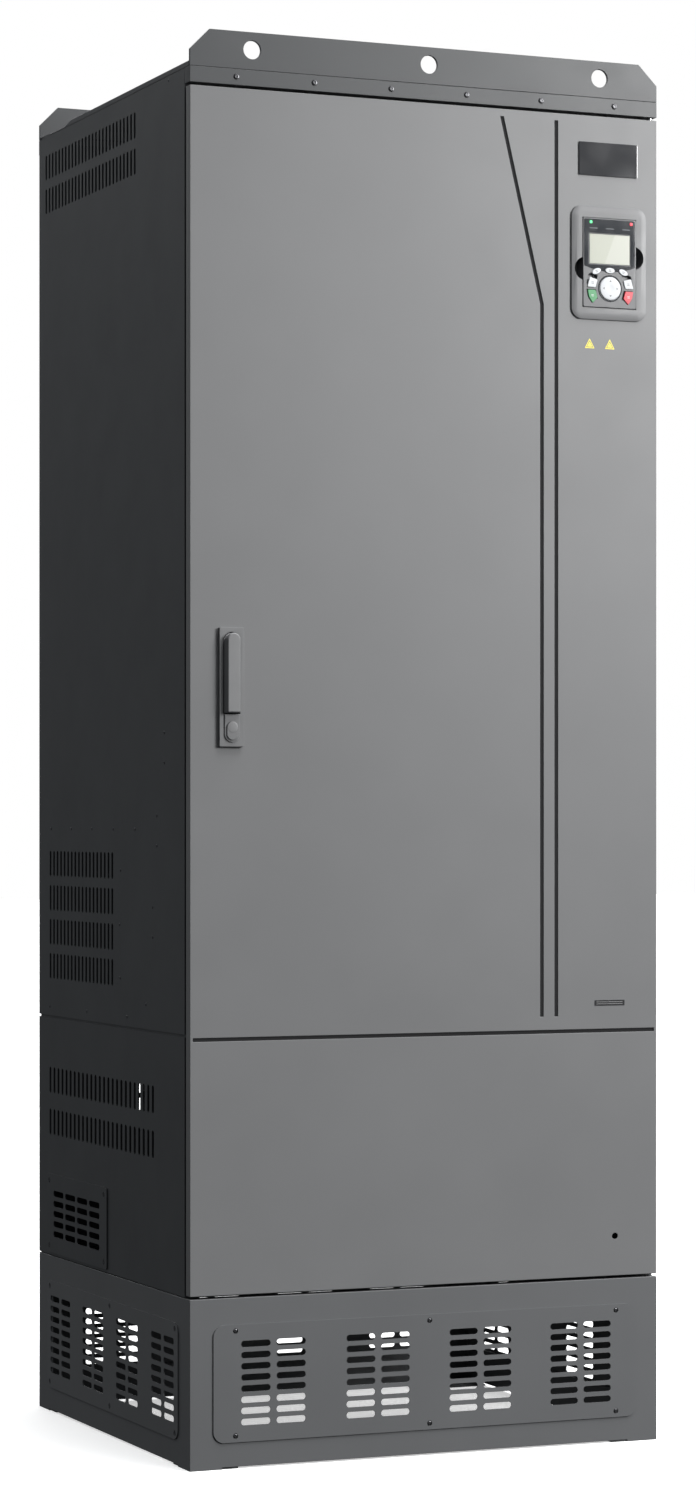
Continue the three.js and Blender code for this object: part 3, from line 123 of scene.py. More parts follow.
class Finish:
    """A surface finish: a named material with its own nodes."""

    def __init__(self, name: str, colour: Colour, roughness: float) -> None:
        """Starts a material with a plain surface.

        Args:
            name: what the finish is called.
            colour: its base colour, linear.
            roughness: how matt it is, from 0 to 1.
        """
        self.material = bpy.data.materials.new(name)
        self.material.use_nodes = True
        self.tree = self.material.node_tree
        self.surface = self.tree.nodes["Principled BSDF"]
        self.set("Base Color", (*colour, 1.0))
        self.set("Roughness", roughness)
        self.colour = colour
        self.roughness = roughness
        self.place = self.add("TexCoord").outputs["Object"]

    def set(self, name: str, value: object) -> None:
        """Feeds one of the surface's own sockets."""
        feed(self.surface.inputs[name], value)

    def add(self, kind: str, **inputs: object) -> bpy.types.Node:
        """Adds a node to the material, as add_node does."""
        return add_node(self.tree, kind, **inputs)

    def noise(self, scale: float, detail: float = 3.0, stretch: Sequence[float] = (1, 1, 1)) -> Socket:
        """A noise pattern over the piece.

        Args:
            scale: how many features there are in a metre.
            detail: how many finer layers it has.
            stretch: how much closer the features lie along each axis.

        Returns:
            The pattern's value socket.
        """
        mapping = self.add("Mapping", Scale=stretch, Vector=self.place)
        texture = self.add("TexNoise", Scale=scale, Detail=detail, Vector=mapping.outputs["Vector"])
        return texture.outputs["Fac"]

    def tiles(self, size: Point, joint: float, shades: Point, offset: float = 0.5) -> bpy.types.Node:
        """Rows of tiles over the faces that look forwards.

        Args:
            size: a tile's width and height.
            joint: how wide the joints are.
            shades: how bright every other tile and the joints are, as shares of the colour.
            offset: how far every other row is moved along, as a share of a tile.

        Returns:
            The pattern's node.
        """
        turn = self.add("Mapping", Rotation=(math.pi / 2, 0, 0), Vector=self.place)
        one, other, between = ((*(c * shade for c in self.colour), 1.0) for shade in (1.0, *shades))
        tiles = self.add("TexBrick", Scale=1.0, Brick_Width=size[0], Row_Height=size[1])
        tiles.offset = offset
        for name, value in (("Mortar Size", joint), ("Color1", one), ("Color2", other), ("Mortar", between)):
            feed(tiles.inputs[name], value)
        feed(tiles.inputs["Vector"], turn.outputs["Vector"])
        return tiles

    def stretched(self, value: Socket, low: float, high: float) -> Socket:
        """Stretches the middle of a pattern over a range.

        Args:
            value: the pattern.
            low: what its darker parts become.
            high: what its lighter parts become.

        Returns:
            The stretched value's socket.
        """
        ramp = self.add("MapRange", From_Min=0.3, From_Max=0.7, To_Min=low, To_Max=high, Value=value)
        return ramp.outputs["Result"]

    def mixed(self, share: Socket, first: object, second: object, blend: str = "MIX") -> Socket:
        """Mixes two colours.

        Args:
            share: how much of the second there is.
            first: a colour or its socket.
            second: the other one.
            blend: how the second goes over the first.

        Returns:
            The mixed colour's socket.
        """
        mix = self.add("Mix")
        mix.data_type = "RGBA"
        mix.blend_type = blend
        for socket, value in zip((s for s in mix.inputs if s.type == "RGBA"), (first, second)):
            feed(socket, value)
        feed(mix.inputs["Factor"], share)
        return next(socket for socket in mix.outputs if socket.type == "RGBA")

    def tint(self, pattern: Socket, amount: float) -> None:
        """Makes the colour darker and lighter by a pattern.

        Args:
            pattern: where it is darker or lighter.
            amount: the share by which it changes each way.
        """
        darker, lighter = (
            (*(min(c * (1 + share), 1.0) for c in self.colour), 1.0) for share in (-amount, amount)
        )
        self.set("Base Color", self.mixed(self.stretched(pattern, 0.0, 1.0), darker, lighter))

    def vary_roughness(self, pattern: Socket, amount: float) -> None:
        """Makes the surface duller and shinier by a pattern, by an amount each way."""
        self.set("Roughness", self.stretched(pattern, self.roughness - amount, self.roughness + amount))

    def grain(self, *patterns: tuple[Socket, float]) -> None:
        """Raises the surface a little.

        Args:
            patterns: each pattern with its height in metres.
        """
        last = None
        for pattern, height in patterns:
            bump = self.add("Bump", Strength=1.0, Distance=height, Height=pattern)
            if last is not None:
                feed(bump.inputs["Normal"], last)
            last = bump.outputs["Normal"]
        self.set("Normal", last)


@dataclass(frozen=True)
class Coating:
    """What every finish has; each kind adds its own detail."""

    name: str
    colour: Colour
    roughness: float = 0.3

    def build(self) -> Material:
        """Makes the material."""
        finish = Finish(self.name, self.colour, self.roughness)
        self.detail(finish)
        return finish.material

    def detail(self, finish: Finish) -> None:
        """Adds what makes this kind of finish."""


@dataclass(frozen=True)
class PowderCoat(Coating):
    """Baked powder paint with a fine orange-peel skin."""

    roughness: float = 0.42
    peel: float = 0.012 * MM

    def detail(self, finish: Finish) -> None:
        """Adds faint patches and the peel."""
        finish.set("Specular IOR Level", 0.45)
        finish.tint(finish.noise(5.0, 4.0), 0.035)
        finish.vary_roughness(finish.noise(14.0, 5.0), 0.03)
        finish.grain((finish.noise(700.0, 2.0), self.peel), (finish.noise(2600.0, 1.0), self.peel * 0.4))


@dataclass(frozen=True)
class MouldedPlastic(Coating):
    """Injection-moulded plastic with a spark-eroded grain."""

    roughness: float = 0.5
    texture: float = 0.02 * MM

    def detail(self, finish: Finish) -> None:
        """Adds faint patches and the grain."""
        finish.tint(finish.noise(30.0, 3.0), 0.04)
        finish.vary_roughness(finish.noise(60.0, 4.0), 0.04)
        finish.grain((finish.noise(2200.0, 3.0), self.texture))


@dataclass(frozen=True)
class PolishedPlastic(Coating):
    """Glossy plastic under a clear hard coat."""

    roughness: float = 0.12

    def detail(self, finish: Finish) -> None:
        """Adds the coat and a slight waviness."""
        finish.set("Coat Weight", 0.6)
        finish.set("Coat Roughness", 0.05)
        finish.tint(finish.noise(20.0, 2.0), 0.03)
        finish.vary_roughness(finish.noise(35.0, 3.0), 0.025)
        finish.grain((finish.noise(120.0, 2.0), 0.004 * MM))


@dataclass(frozen=True)
class BrushedMetal(Coating):
    """Bare metal, brushed or extruded along one axis."""

    roughness: float = 0.32
    along: Sequence[float] = (1, 1, 0.02)
    depth: float = 0.01 * MM

    def detail(self, finish: Finish) -> None:
        """Adds the brushing's streaks."""
        finish.set("Metallic", 1.0)
        streaks = finish.noise(900.0, 3.0, self.along)
        finish.tint(finish.noise(8.0, 3.0), 0.06)
        finish.vary_roughness(streaks, 0.08)
        finish.grain((streaks, self.depth))


@dataclass(frozen=True)
class ZincPlate(Coating):
    """Zinc-coated sheet with the patchwork of crystals that it cools to."""

    roughness: float = 0.36
    crystal: float = 9.0 * MM

    def detail(self, finish: Finish) -> None:
        """Adds the crystals, each with its own shade and gloss."""
        finish.set("Metallic", 1.0)
        cells = finish.add("TexVoronoi", Scale=1.0 / self.crystal, Vector=finish.place)
        split = finish.add("SeparateColor", Color=cells.outputs["Color"])
        finish.tint(split.outputs["Red"], 0.08)
        finish.vary_roughness(split.outputs["Green"], 0.07)
        finish.grain((finish.noise(1200.0, 2.0), 0.006 * MM))


@dataclass(frozen=True)
class Foam(Coating):
    """Closed-cell sealing foam."""

    roughness: float = 0.9

    def detail(self, finish: Finish) -> None:
        """Adds the cells."""
        finish.tint(finish.noise(400.0, 2.0), 0.2)
        finish.grain((finish.noise(1500.0, 2.0), 0.08 * MM))


@dataclass(frozen=True)
class DisplayGlass(Coating):
    """A grey-green display behind a clear window, with a slanted painted reflection over part of it."""

    dot: float = 0.45 * MM
    dot_gap: float = 0.03 * MM
    slant: Sequence[float] = (0.93, 0.0, -0.36)
    painted_sheen_from: float = -0.3045
    painted_sheen: float = 0.10

    def detail(self, finish: Finish) -> None:
        """Adds the fine dot grid, the window, and a reflection painted into its colour."""
        finish.set("Coat Weight", 1.0)
        finish.set("Coat Roughness", 0.03)
        grid = finish.tiles((self.dot, self.dot), self.dot_gap, (0.97, 0.86), 0.0)
        across = finish.add("VectorMath")
        across.operation = "DOT_PRODUCT"
        feed(across.inputs[0], finish.place)
        feed(across.inputs[1], self.slant)
        # The lighter band past a slanted line, screened over the colour, is a painted reflection.
        edge = finish.add("MapRange", From_Min=self.painted_sheen_from, From_Max=self.painted_sheen_from + 1 * MM)
        feed(edge.inputs["Value"], across.outputs["Value"])
        painted_glare = (self.painted_sheen, self.painted_sheen, self.painted_sheen, 1.0)
        shown = finish.mixed(edge.outputs["Result"], grid.outputs["Color"], painted_glare, "SCREEN")
        finish.set("Base Color", shown)


@dataclass(frozen=True)
class CircuitBoard(Coating):
    """Green solder mask with fine tracks under it."""

    track: Point = (17 * MM, 2.2 * MM)
    track_gap: float = 0.3 * MM

    def detail(self, finish: Finish) -> None:
        """Adds the tracks."""
        finish.set("Coat Weight", 0.3)
        tracks = finish.tiles(self.track, self.track_gap, (0.8, 1.7))
        finish.set("Base Color", tracks.outputs["Color"])
        finish.grain((tracks.outputs["Fac"], 0.03 * MM))


@dataclass(frozen=True)
class Lamp(Coating):
    """A small coloured lamp, lit from inside."""

    roughness: float = 0.2
    strength: float = 1.2

    def detail(self, finish: Finish) -> None:
        """Adds the lamp's light."""
        finish.set("Emission Color", (*self.colour, 1.0))
        finish.set("Emission Strength", self.strength)
        finish.tint(finish.noise(300.0, 1.0), 0.1)


class Paints:
    """All the finishes of the drive, each made once."""

    def __init__(self) -> None:
        """Makes every material."""
        self.door = PowderCoat("door_powder_coat", (0.165, 0.167, 0.170)).build()
        self.case = PowderCoat("case_powder_coat", (0.050, 0.053, 0.056), 0.40).build()
        self.plinth = PowderCoat("plinth_powder_coat", (0.120, 0.123, 0.127), 0.44).build()
        self.cover = PowderCoat("cover_powder_coat", (0.120, 0.123, 0.127), 0.40).build()
        self.zinc = ZincPlate("zinc_sheet", (0.58, 0.60, 0.62)).build()
        self.screw = BrushedMetal("blackened_screw", (0.10, 0.10, 0.105), 0.35).build()
        self.bright = BrushedMetal("bright_steel", (0.62, 0.62, 0.63), 0.22).build()
        self.aluminium = BrushedMetal("extruded_aluminium", (0.72, 0.73, 0.75), 0.3).build()
        self.copper = BrushedMetal("rolled_copper", (0.72, 0.33, 0.18), 0.28, (0.02, 1, 1)).build()
        self.foam = Foam("sealing_foam", (0.018, 0.018, 0.019)).build()
        # A near-black finish used as painted shade, on the door's groove floors and the handle's recess
        # floor.
        self.painted_shade = Foam("painted_shade_recess", (0.006, 0.006, 0.007)).build()
        self.badge = PolishedPlastic("polished_badge", (0.028, 0.029, 0.032), 0.1).build()
        self.tag = PolishedPlastic("printed_tag", (0.02, 0.02, 0.022), 0.3).build()
        self.tag_print = PolishedPlastic("printed_line", (0.35, 0.35, 0.35), 0.3).build()
        self.handle = MouldedPlastic("handle_plastic", (0.150, 0.152, 0.155), 0.45).build()
        self.lever = MouldedPlastic("lever_plastic", (0.185, 0.187, 0.190), 0.42).build()
        self.bezel = MouldedPlastic("bezel_plastic", (0.125, 0.127, 0.131), 0.40).build()
        self.keypad = MouldedPlastic("keypad_plastic", (0.085, 0.087, 0.092), 0.36, 0.01 * MM).build()
        # Lighter grey bars on the keypad's glossy panel are painted highlights.
        self.keypad_painted_highlight = PolishedPlastic("keypad_painted_highlight", (0.12, 0.13, 0.14), 0.2).build()
        self.keypad_gloss = PolishedPlastic("keypad_gloss", (0.016, 0.019, 0.024), 0.12).build()
        self.display = DisplayGlass("display", (0.43, 0.445, 0.365)).build()
        self.white_key = MouldedPlastic("white_key", (0.62, 0.64, 0.66), 0.4, 0.008 * MM).build()
        self.green_key = MouldedPlastic("green_key", (0.04, 0.27, 0.09), 0.4, 0.008 * MM).build()
        self.red_key = MouldedPlastic("red_key", (0.62, 0.045, 0.065), 0.4, 0.008 * MM).build()
        self.key_mark = PolishedPlastic("key_mark", (0.05, 0.055, 0.06), 0.3).build()
        self.yellow = PolishedPlastic("yellow_sticker", (0.85, 0.72, 0.06), 0.35).build()
        self.green_lamp = Lamp("green_lamp", (0.10, 0.75, 0.25)).build()
        self.red_lamp = Lamp("red_lamp", (0.85, 0.05, 0.07)).build()
        self.module = MouldedPlastic("module_case", (0.035, 0.036, 0.038), 0.5).build()
        self.sleeve = PolishedPlastic("capacitor_sleeve", (0.02, 0.045, 0.11), 0.22).build()
        self.board = CircuitBoard("circuit_board", (0.012, 0.085, 0.035)).build()
        self.chip = MouldedPlastic("chip_case", (0.015, 0.015, 0.016), 0.4, 0.01 * MM).build()
        self.socket = MouldedPlastic("connector_housing", (0.62, 0.60, 0.52), 0.5).build()
        self.terminal = MouldedPlastic("terminal_case", (0.16, 0.165, 0.17), 0.5).build()
        self.fan = MouldedPlastic("fan_plastic", (0.022, 0.022, 0.024), 0.5).build()
        self.nylon = MouldedPlastic("hinge_nylon", (0.03, 0.03, 0.031), 0.45).build()


# ---------------------------------------------------------------- shapes


class Way(Enum):
    """Where a flat outline faces: its first and second direction, and the way its thickness goes."""

    FRONT = ((1, 0, 0), (0, 0, 1), (0, 1, 0))
    REAR = ((1, 0, 0), (0, 0, 1), (0, -1, 0))
    LEFT = ((0, 1, 0), (0, 0, 1), (1, 0, 0))
    RIGHT = ((0, 1, 0), (0, 0, 1), (-1, 0, 0))
    UP = ((1, 0, 0), (0, 1, 0), (0, 0, 1))

    def at(self, u: float, v: float, depth: float) -> Matrix:
        """The matrix that puts a shape drawn flat at a place.

        Args:
            u: where its origin goes along the first direction.
            v: where its origin goes along the second direction.
            depth: where its outer face goes, along the axis that its thickness follows.

        Returns:
            A 4 by 4 matrix.
        """
        across, up, inward = (Vector(axis) for axis in self.value)
        turn = Matrix((across, up, inward)).transposed().to_4x4()
        outer = depth * sum(abs(c) for c in inward) * Vector([abs(c) for c in inward])
        return Matrix.Translation(across * u + up * v + outer) @ turn

    @property
    def across(self) -> int:
        """The axis that an upright outline goes along: 0 for X, 1 for Y."""
        return 0 if self in (Way.FRONT, Way.REAR) else 1


class Box:
    """A CAD node's box: its corners, middle and sizes."""

    def __init__(self, node: str) -> None:
        """Measures a CAD node."""
        self.low, self.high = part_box(node)
        self.centre = (self.low + self.high) / 2
        self.size = self.high - self.low

    def outer(self, way: Way) -> float:
        """Where the face is that looks a given way."""
        corner = self.low if way in (Way.FRONT, Way.LEFT) else self.high
        return corner[1 - way.across]

    def face(self, way: Way = Way.FRONT, ahead: float = 0.0) -> Matrix:
        """The matrix that puts a flat shape at the middle of a face, or ahead of it."""
        return way.at(self.centre[way.across], self.centre.z, self.outer(way) - ahead)


def deeper(depth: float, u: float = 0.0, v: float = 0.0) -> Matrix:
    """A move inwards from a face, and along it."""
    return Matrix.Translation((u, v, depth))


def rounded(bm: Shape, size: Point, radius: float, centre: Point = (0, 0), segments: int = 16) -> None:
    """Draws a rounded rectangle, an obround or a circle as a ring of edges.

    Args:
        bm: what it is drawn in.
        size: its width and height.
        radius: the radius of its corners.
        centre: where its middle is.
        segments: how many edges its four corners have in all.
    """
    ring = bmesh.ops.create_circle(bm, segments=segments, radius=radius)["verts"]
    bmesh.ops.rotate(bm, verts=ring, matrix=Matrix.Rotation(math.pi / segments, 3, "Z"))
    for vert in ring:
        vert.co.x += math.copysign(size[0] / 2 - radius, vert.co.x) + centre[0]
        vert.co.y += math.copysign(size[1] / 2 - radius, vert.co.y) + centre[1]


def polygon(
    bm: Shape, corners: Sequence[Point], radius: float = 0.0, segments: int = 4, only: Sequence[int] = ()
) -> None:
    """Draws an outline through a few corners as a ring of edges.

    Args:
        bm: what it is drawn in.
        corners: its corners in order.
        radius: how much each corner is rounded.
        segments: how many edges a rounded corner has.
        only: which corners are rounded, or nothing for all.
    """
    verts = [bm.verts.new((u, v, 0)) for u, v in corners]
    for ends in zip(verts, verts[1:] + verts[:1]):
        bm.edges.new(ends)
    chosen = [verts[i] for i in only] or verts
    if radius > 0:
        bmesh.ops.bevel(
            bm, geom=chosen, offset=radius, segments=segments, affect="VERTICES", profile=0.5, material=-1
        )


def triangle(half: float, foot: float, tip: float) -> list[Point]:
    """The corners of an upright triangle: half its width, its foot and its tip, in millimetres."""
    return [(-half * MM, foot * MM), (half * MM, foot * MM), (0, tip * MM)]


def upright(half: float, foot: float, top: float) -> list[Point]:
    """The corners of an upright rectangle: half its width, its foot and its top."""
    return [(-half, foot), (half, foot), (half, top), (-half, top)]


def soften(bm: Shape, width: float, segments: int = 2, above: float = 40.0) -> None:
    """Rounds the sharp edges of a closed shape.

    Args:
        bm: the shape.
        width: how wide the rounding is.
        segments: how many faces it has across.
        above: the least angle of an edge that is rounded, in degrees.
    """
    limit = math.radians(above)
    sharp = [edge for edge in bm.edges if len(edge.link_faces) == 2 and edge.calc_face_angle(0.0) > limit]
    bmesh.ops.bevel(
        bm, geom=sharp, offset=width, segments=segments, affect="EDGES", profile=0.5, material=-1,
        clamp_overlap=False,
    )


def slab(
    draw: Callable[[Shape], None],
    thickness: float,
    soft: float = 0.0,
    taper: Point = (1.0, 1.0),
    segments: int = 2,
) -> Shape:
    """A flat sheet with holes.

    Args:
        draw: draws the outline and the holes as rings of edges; each ring inside another is a hole.
        thickness: how thick the sheet is.
        soft: how far the edges of its outline are rounded, or 0 to leave them.
        taper: the size of its outer face as a share of its inner one.
        segments: how many faces a rounded edge has across.

    Returns:
        The sheet, with its outer face at zero and its thickness along +Z.
    """
    bm = bmesh.new()
    draw(bm)
    bmesh.ops.triangle_fill(bm, use_beauty=True, use_dissolve=False, edges=bm.edges[:])
    raised = bmesh.ops.extrude_face_region(bm, geom=bm.faces[:])["geom"]
    top = [item for item in raised if isinstance(item, bmesh.types.BMVert)]
    bmesh.ops.translate(bm, verts=top, vec=(0, 0, thickness))
    outer = [vert for vert in bm.verts if vert.co.z < thickness / 2]
    bmesh.ops.scale(bm, verts=outer, vec=(*taper, 1.0))
    bmesh.ops.recalc_face_normals(bm, faces=bm.faces[:])
    if soft > 0:
        soften(bm, soft, segments)
    return bm


def plate(size: Point, radius: float, thickness: float, soft: float = 0.0, segments: int = 8) -> Shape:
    """A flat rounded rectangle, made as slab does.

    Args:
        size: its width and height.
        radius: the radius of its corners.
        thickness: how thick it is.
        soft: how far its edges are rounded, or 0 to leave them.
        segments: how many edges its four corners have in all.

    Returns:
        The plate.
    """
    return slab(lambda bm: rounded(bm, size, radius, segments=segments), thickness, soft)


def turned(profile: Sequence[Point], segments: int = 24, unit: float = 1.0) -> Shape:
    """A shape turned about the Z axis.

    Args:
        profile: radius and height of each corner, from the first end on the axis to the last.
        segments: how many faces it has round.
        unit: what the profile is measured in, such as MM.

    Returns:
        The turned shape.
    """
    bm = bmesh.new()
    verts = [bm.verts.new((radius * unit, 0, height * unit)) for radius, height in profile]
    edges = [bm.edges.new(pair) for pair in zip(verts, verts[1:])]
    bmesh.ops.spin(
        bm, geom=verts + edges, axis=(0, 0, 1), cent=(0, 0, 0), angle=math.tau, steps=segments, use_merge=True
    )
    bmesh.ops.remove_doubles(bm, verts=bm.verts[:], dist=1e-6)
    bmesh.ops.recalc_face_normals(bm, faces=bm.faces[:])
    return bm


def screw_head(radius: float, height: float, socket: float = 0.45) -> Shape:
    """A button-head screw seen from its head, with a round socket.

    Args:
        radius: the head's radius.
        height: how far it stands up, along -Z.
        socket: the socket's radius as a share of the head's.

    Returns:
        The head, with its seat at zero.
    """
    inner = radius * socket
    floor, seat = -height * 0.45, 0.3 * MM
    button = [(radius * 0.6, -height), (radius * 0.88, -height * 0.72), (radius, -height * 0.25)]
    hollow = [(0, floor), (inner * 0.9, floor), (inner, -height * 0.95)]
    return turned([*hollow, *button, (radius, seat), (0, seat)], 16)


def brick(size: Sequence[float], centre: Sequence[float], soft: float) -> Shape:
    """A block with rounded edges.

    Args:
        size: its three sizes.
        centre: where its middle is.
        soft: how far its edges are rounded.

    Returns:
        The block.
    """
    bm = bmesh.new()
    bmesh.ops.create_cube(bm, size=1.0)
    bmesh.ops.scale(bm, vec=size, verts=bm.verts[:])
    soften(bm, soft)
    bmesh.ops.translate(bm, vec=centre, verts=bm.verts[:])
    return bm


def cut_away(bm: Shape, place: Sequence[float], ahead: Sequence[float]) -> None:
    """Cuts off what lies ahead of a plane and closes the cut.

    Args:
        bm: the shape.
        place: a point of the plane.
        ahead: which way is ahead of it.
    """
    everything = bm.verts[:] + bm.edges[:] + bm.faces[:]
    bmesh.ops.bisect_plane(bm, geom=everything, plane_co=place, plane_no=ahead, clear_outer=True)
    bmesh.ops.holes_fill(bm, edges=[edge for edge in bm.edges if edge.is_boundary])


def spread(count: int, pitch: float, centre: float = 0.0) -> list[float]:
    """A row of evenly spaced places about a centre."""
    return [centre + (i - (count - 1) / 2) * pitch for i in range(count)]


def place_object(name: str, data: bpy.types.ID) -> bpy.types.Object:
    """Makes an object and puts it in the scene.

    Args:
        name: what it is called.
        data: its mesh, light or camera.

    Returns:
        The object.
    """
    thing = bpy.data.objects.new(name, data)
    bpy.context.scene.collection.objects.link(thing)
    return thing


def body_of(node: str) -> str:
    """The body that a CAD node belongs to."""
    return frame["nodes"][node]["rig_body"]


def slot_of(node: str) -> str:
    """The record's material slot of a CAD node."""
    return next(part["material_slot"] for part in frame["record"]["subparts"] if part["node"] == node)


class Piece:
    """One visible piece, put together from shapes that may differ in finish."""

    def __init__(self, name: str) -> None:
        """Starts an empty piece with its name in the drive."""
        self.name = name
        self.bm = bmesh.new()
        self.materials: list[Material] = []

    def add(self, shape: Shape, material: Material, place: Matrix = Matrix()) -> "Piece":
        """Adds a shape and uses it up.

        Args:
            shape: the shape.
            material: its finish.
            place: where it goes.

        Returns:
            The piece itself.
        """
        bmesh.ops.transform(shape, matrix=place, verts=shape.verts[:])
        if place.determinant() < 0:
            bmesh.ops.reverse_faces(shape, faces=shape.faces[:])
        if material not in self.materials:
            self.materials.append(material)
        index = self.materials.index(material)
        for face in shape.faces:
            face.material_index = index
        mesh = bpy.data.meshes.new("part")
        shape.to_mesh(mesh)
        shape.free()
        self.bm.from_mesh(mesh)
        bpy.data.meshes.remove(mesh)
        return self

    def finish(self, body: str, slot: str, *nodes: str) -> None:
        """Makes the piece an object that rides on a body.

        Args:
            body: the body that it moves with.
            slot: the record's material slot; it is not used.
            nodes: the CAD nodes that it stands for.
        """
        mesh = bpy.data.meshes.new(self.name)
        self.bm.to_mesh(mesh)
        self.bm.free()
        for material in self.materials:
            mesh.materials.append(material)
        mesh.shade_smooth()
        mesh.set_sharp_from_angle(angle=math.radians(30.0))
        piece = place_object(self.name, mesh)
        flat = piece.modifiers.new("flat_faces", "WEIGHTED_NORMAL")
        flat.keep_sharp = True
        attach(piece, body)
        if nodes:
            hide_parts(*nodes)
        LOG.info("%s: %d faces on %s", self.name, len(mesh.polygons), body)


class Skin(Piece):
    """A piece that stands for one CAD node."""

    def __init__(self, node: str) -> None:
        """Starts an empty piece for a CAD node."""
        super().__init__(node + "_skin")
        self.node = node

    def show(self) -> None:
        """Finishes the piece on its node's own body."""
        self.finish(body_of(self.node), slot_of(self.node), self.node)


def cad_copy(node: str, soft: float) -> Shape:
    """A CAD node's shape with its loose triangles joined into faces and its edges rounded.

    Args:
        node: the CAD node.
        soft: how far its sharp edges are rounded, or 0 to leave them.

    Returns:
        The shape.
    """
    bm = bmesh.new()
    bm.from_mesh(frame["nodes"][node].data)
    bmesh.ops.remove_doubles(bm, verts=bm.verts[:], dist=1e-6)
    bmesh.ops.dissolve_limit(bm, angle_limit=math.radians(1), verts=bm.verts[:], edges=bm.edges[:])
    if soft > 0:
        soften(bm, soft)
    return bm


def dress(node: str, material: Material, soft: float) -> None:
    """Shows a CAD node with a finish and with its edges rounded, in millimetres."""
    Skin(node).add(cad_copy(node, soft * MM), material).show()


# ---------------------------------------------------------------- sub-assemblies


@dataclass(frozen=True)
class SunkScrews:
    """The small screws that hold a cover, each in its own hole."""

    radius: float = 2.6 * MM
    head: float = 0.5 * MM
    depth: float = 0.55 * MM

    def add_to(self, piece: Piece, paint: Material, place: Matrix, spots: Iterable[Point]) -> None:
        """Adds the screws to a cover.

        Args:
            piece: the cover's piece.
            paint: the screws' finish.
            place: where the cover goes.
            spots: where the screws are on it.
        """
        for u, v in spots:
            piece.add(screw_head(self.radius, self.head), paint, place @ deeper(self.depth, u, v))


@dataclass
class Plinth:
    """The base: a folded frame with four slotted covers."""

    paints: Paints
    corner: float = 14 * MM
    slot_height: float = 8 * MM
    row_pitch: float = 13.2 * MM
    rows: int = 8
    groups: int = 4
    front_slot: float = 37.6 * MM
    front_edge: float = 35 * MM
    side_slot: float = 35.5 * MM
    side_edge: float = 13 * MM
    slot_gap: float = 7.5 * MM
    screws: SunkScrews = SunkScrews()
    # A screw hole's width and corner radius, as shares of the screw's radius.
    screw_hole: Point = (2.6, 1.299)
    front_inset: float = 28 * MM
    side_inset: float = 10.2 * MM
    screw_from_edge: float = 7.6 * MM

    def build(self) -> None:
        """Makes the whole plinth."""
        dress("plinth_frame", self.paints.plinth, 0.6)
        self.cover("plinth_front_cover", Way.FRONT, self.front_slot, self.front_edge)
        self.cover("plinth_rear_cover", Way.REAR, self.front_slot, self.front_edge)
        self.cover("plinth_left_cover", Way.LEFT, self.side_slot, self.side_edge)
        self.cover("plinth_right_cover", Way.RIGHT, self.side_slot, self.side_edge)

    def cover(self, node: str, way: Way, slot: float, edge: float) -> None:
        """Makes one slotted cover with its screws.

        Args:
            node: the CAD node that it stands for.
            way: where it faces.
            slot: the length of one slot.
            edge: from the cover's end to the first slot.
        """
        box = Box(node)
        length, height = box.size[way.across], box.size.z
        pair = 2 * slot + self.slot_gap
        pitch = (length - 2 * edge - pair) / (self.groups - 1)
        end = length / 2 - (self.side_inset if way.across else self.front_inset)
        screw_z = height / 2 - self.screw_from_edge
        screws = list(product((-end, 0.0, end), (-screw_z, screw_z)))
        hole, hole_corner = (share * self.screws.radius for share in self.screw_hole)

        def draw(bm: Shape) -> None:
            """Draws the cover, its slots and its screw holes."""
            rounded(bm, (length, height), self.corner, segments=32)
            for group in spread(self.groups, pitch):
                columns = spread(2, slot + self.slot_gap, group)
                for spot in product(columns, spread(self.rows, self.row_pitch)):
                    rounded(bm, (slot, self.slot_height), self.slot_height * SLOT_END, spot, 12)
            for spot in screws:
                rounded(bm, (hole, hole), hole_corner, spot, 12)

        piece = Skin(node)
        piece.add(slab(draw, box.size[1 - way.across]), self.paints.cover, box.face(way))
        self.screws.add_to(piece, self.paints.screw, box.face(way), screws)
        piece.show()


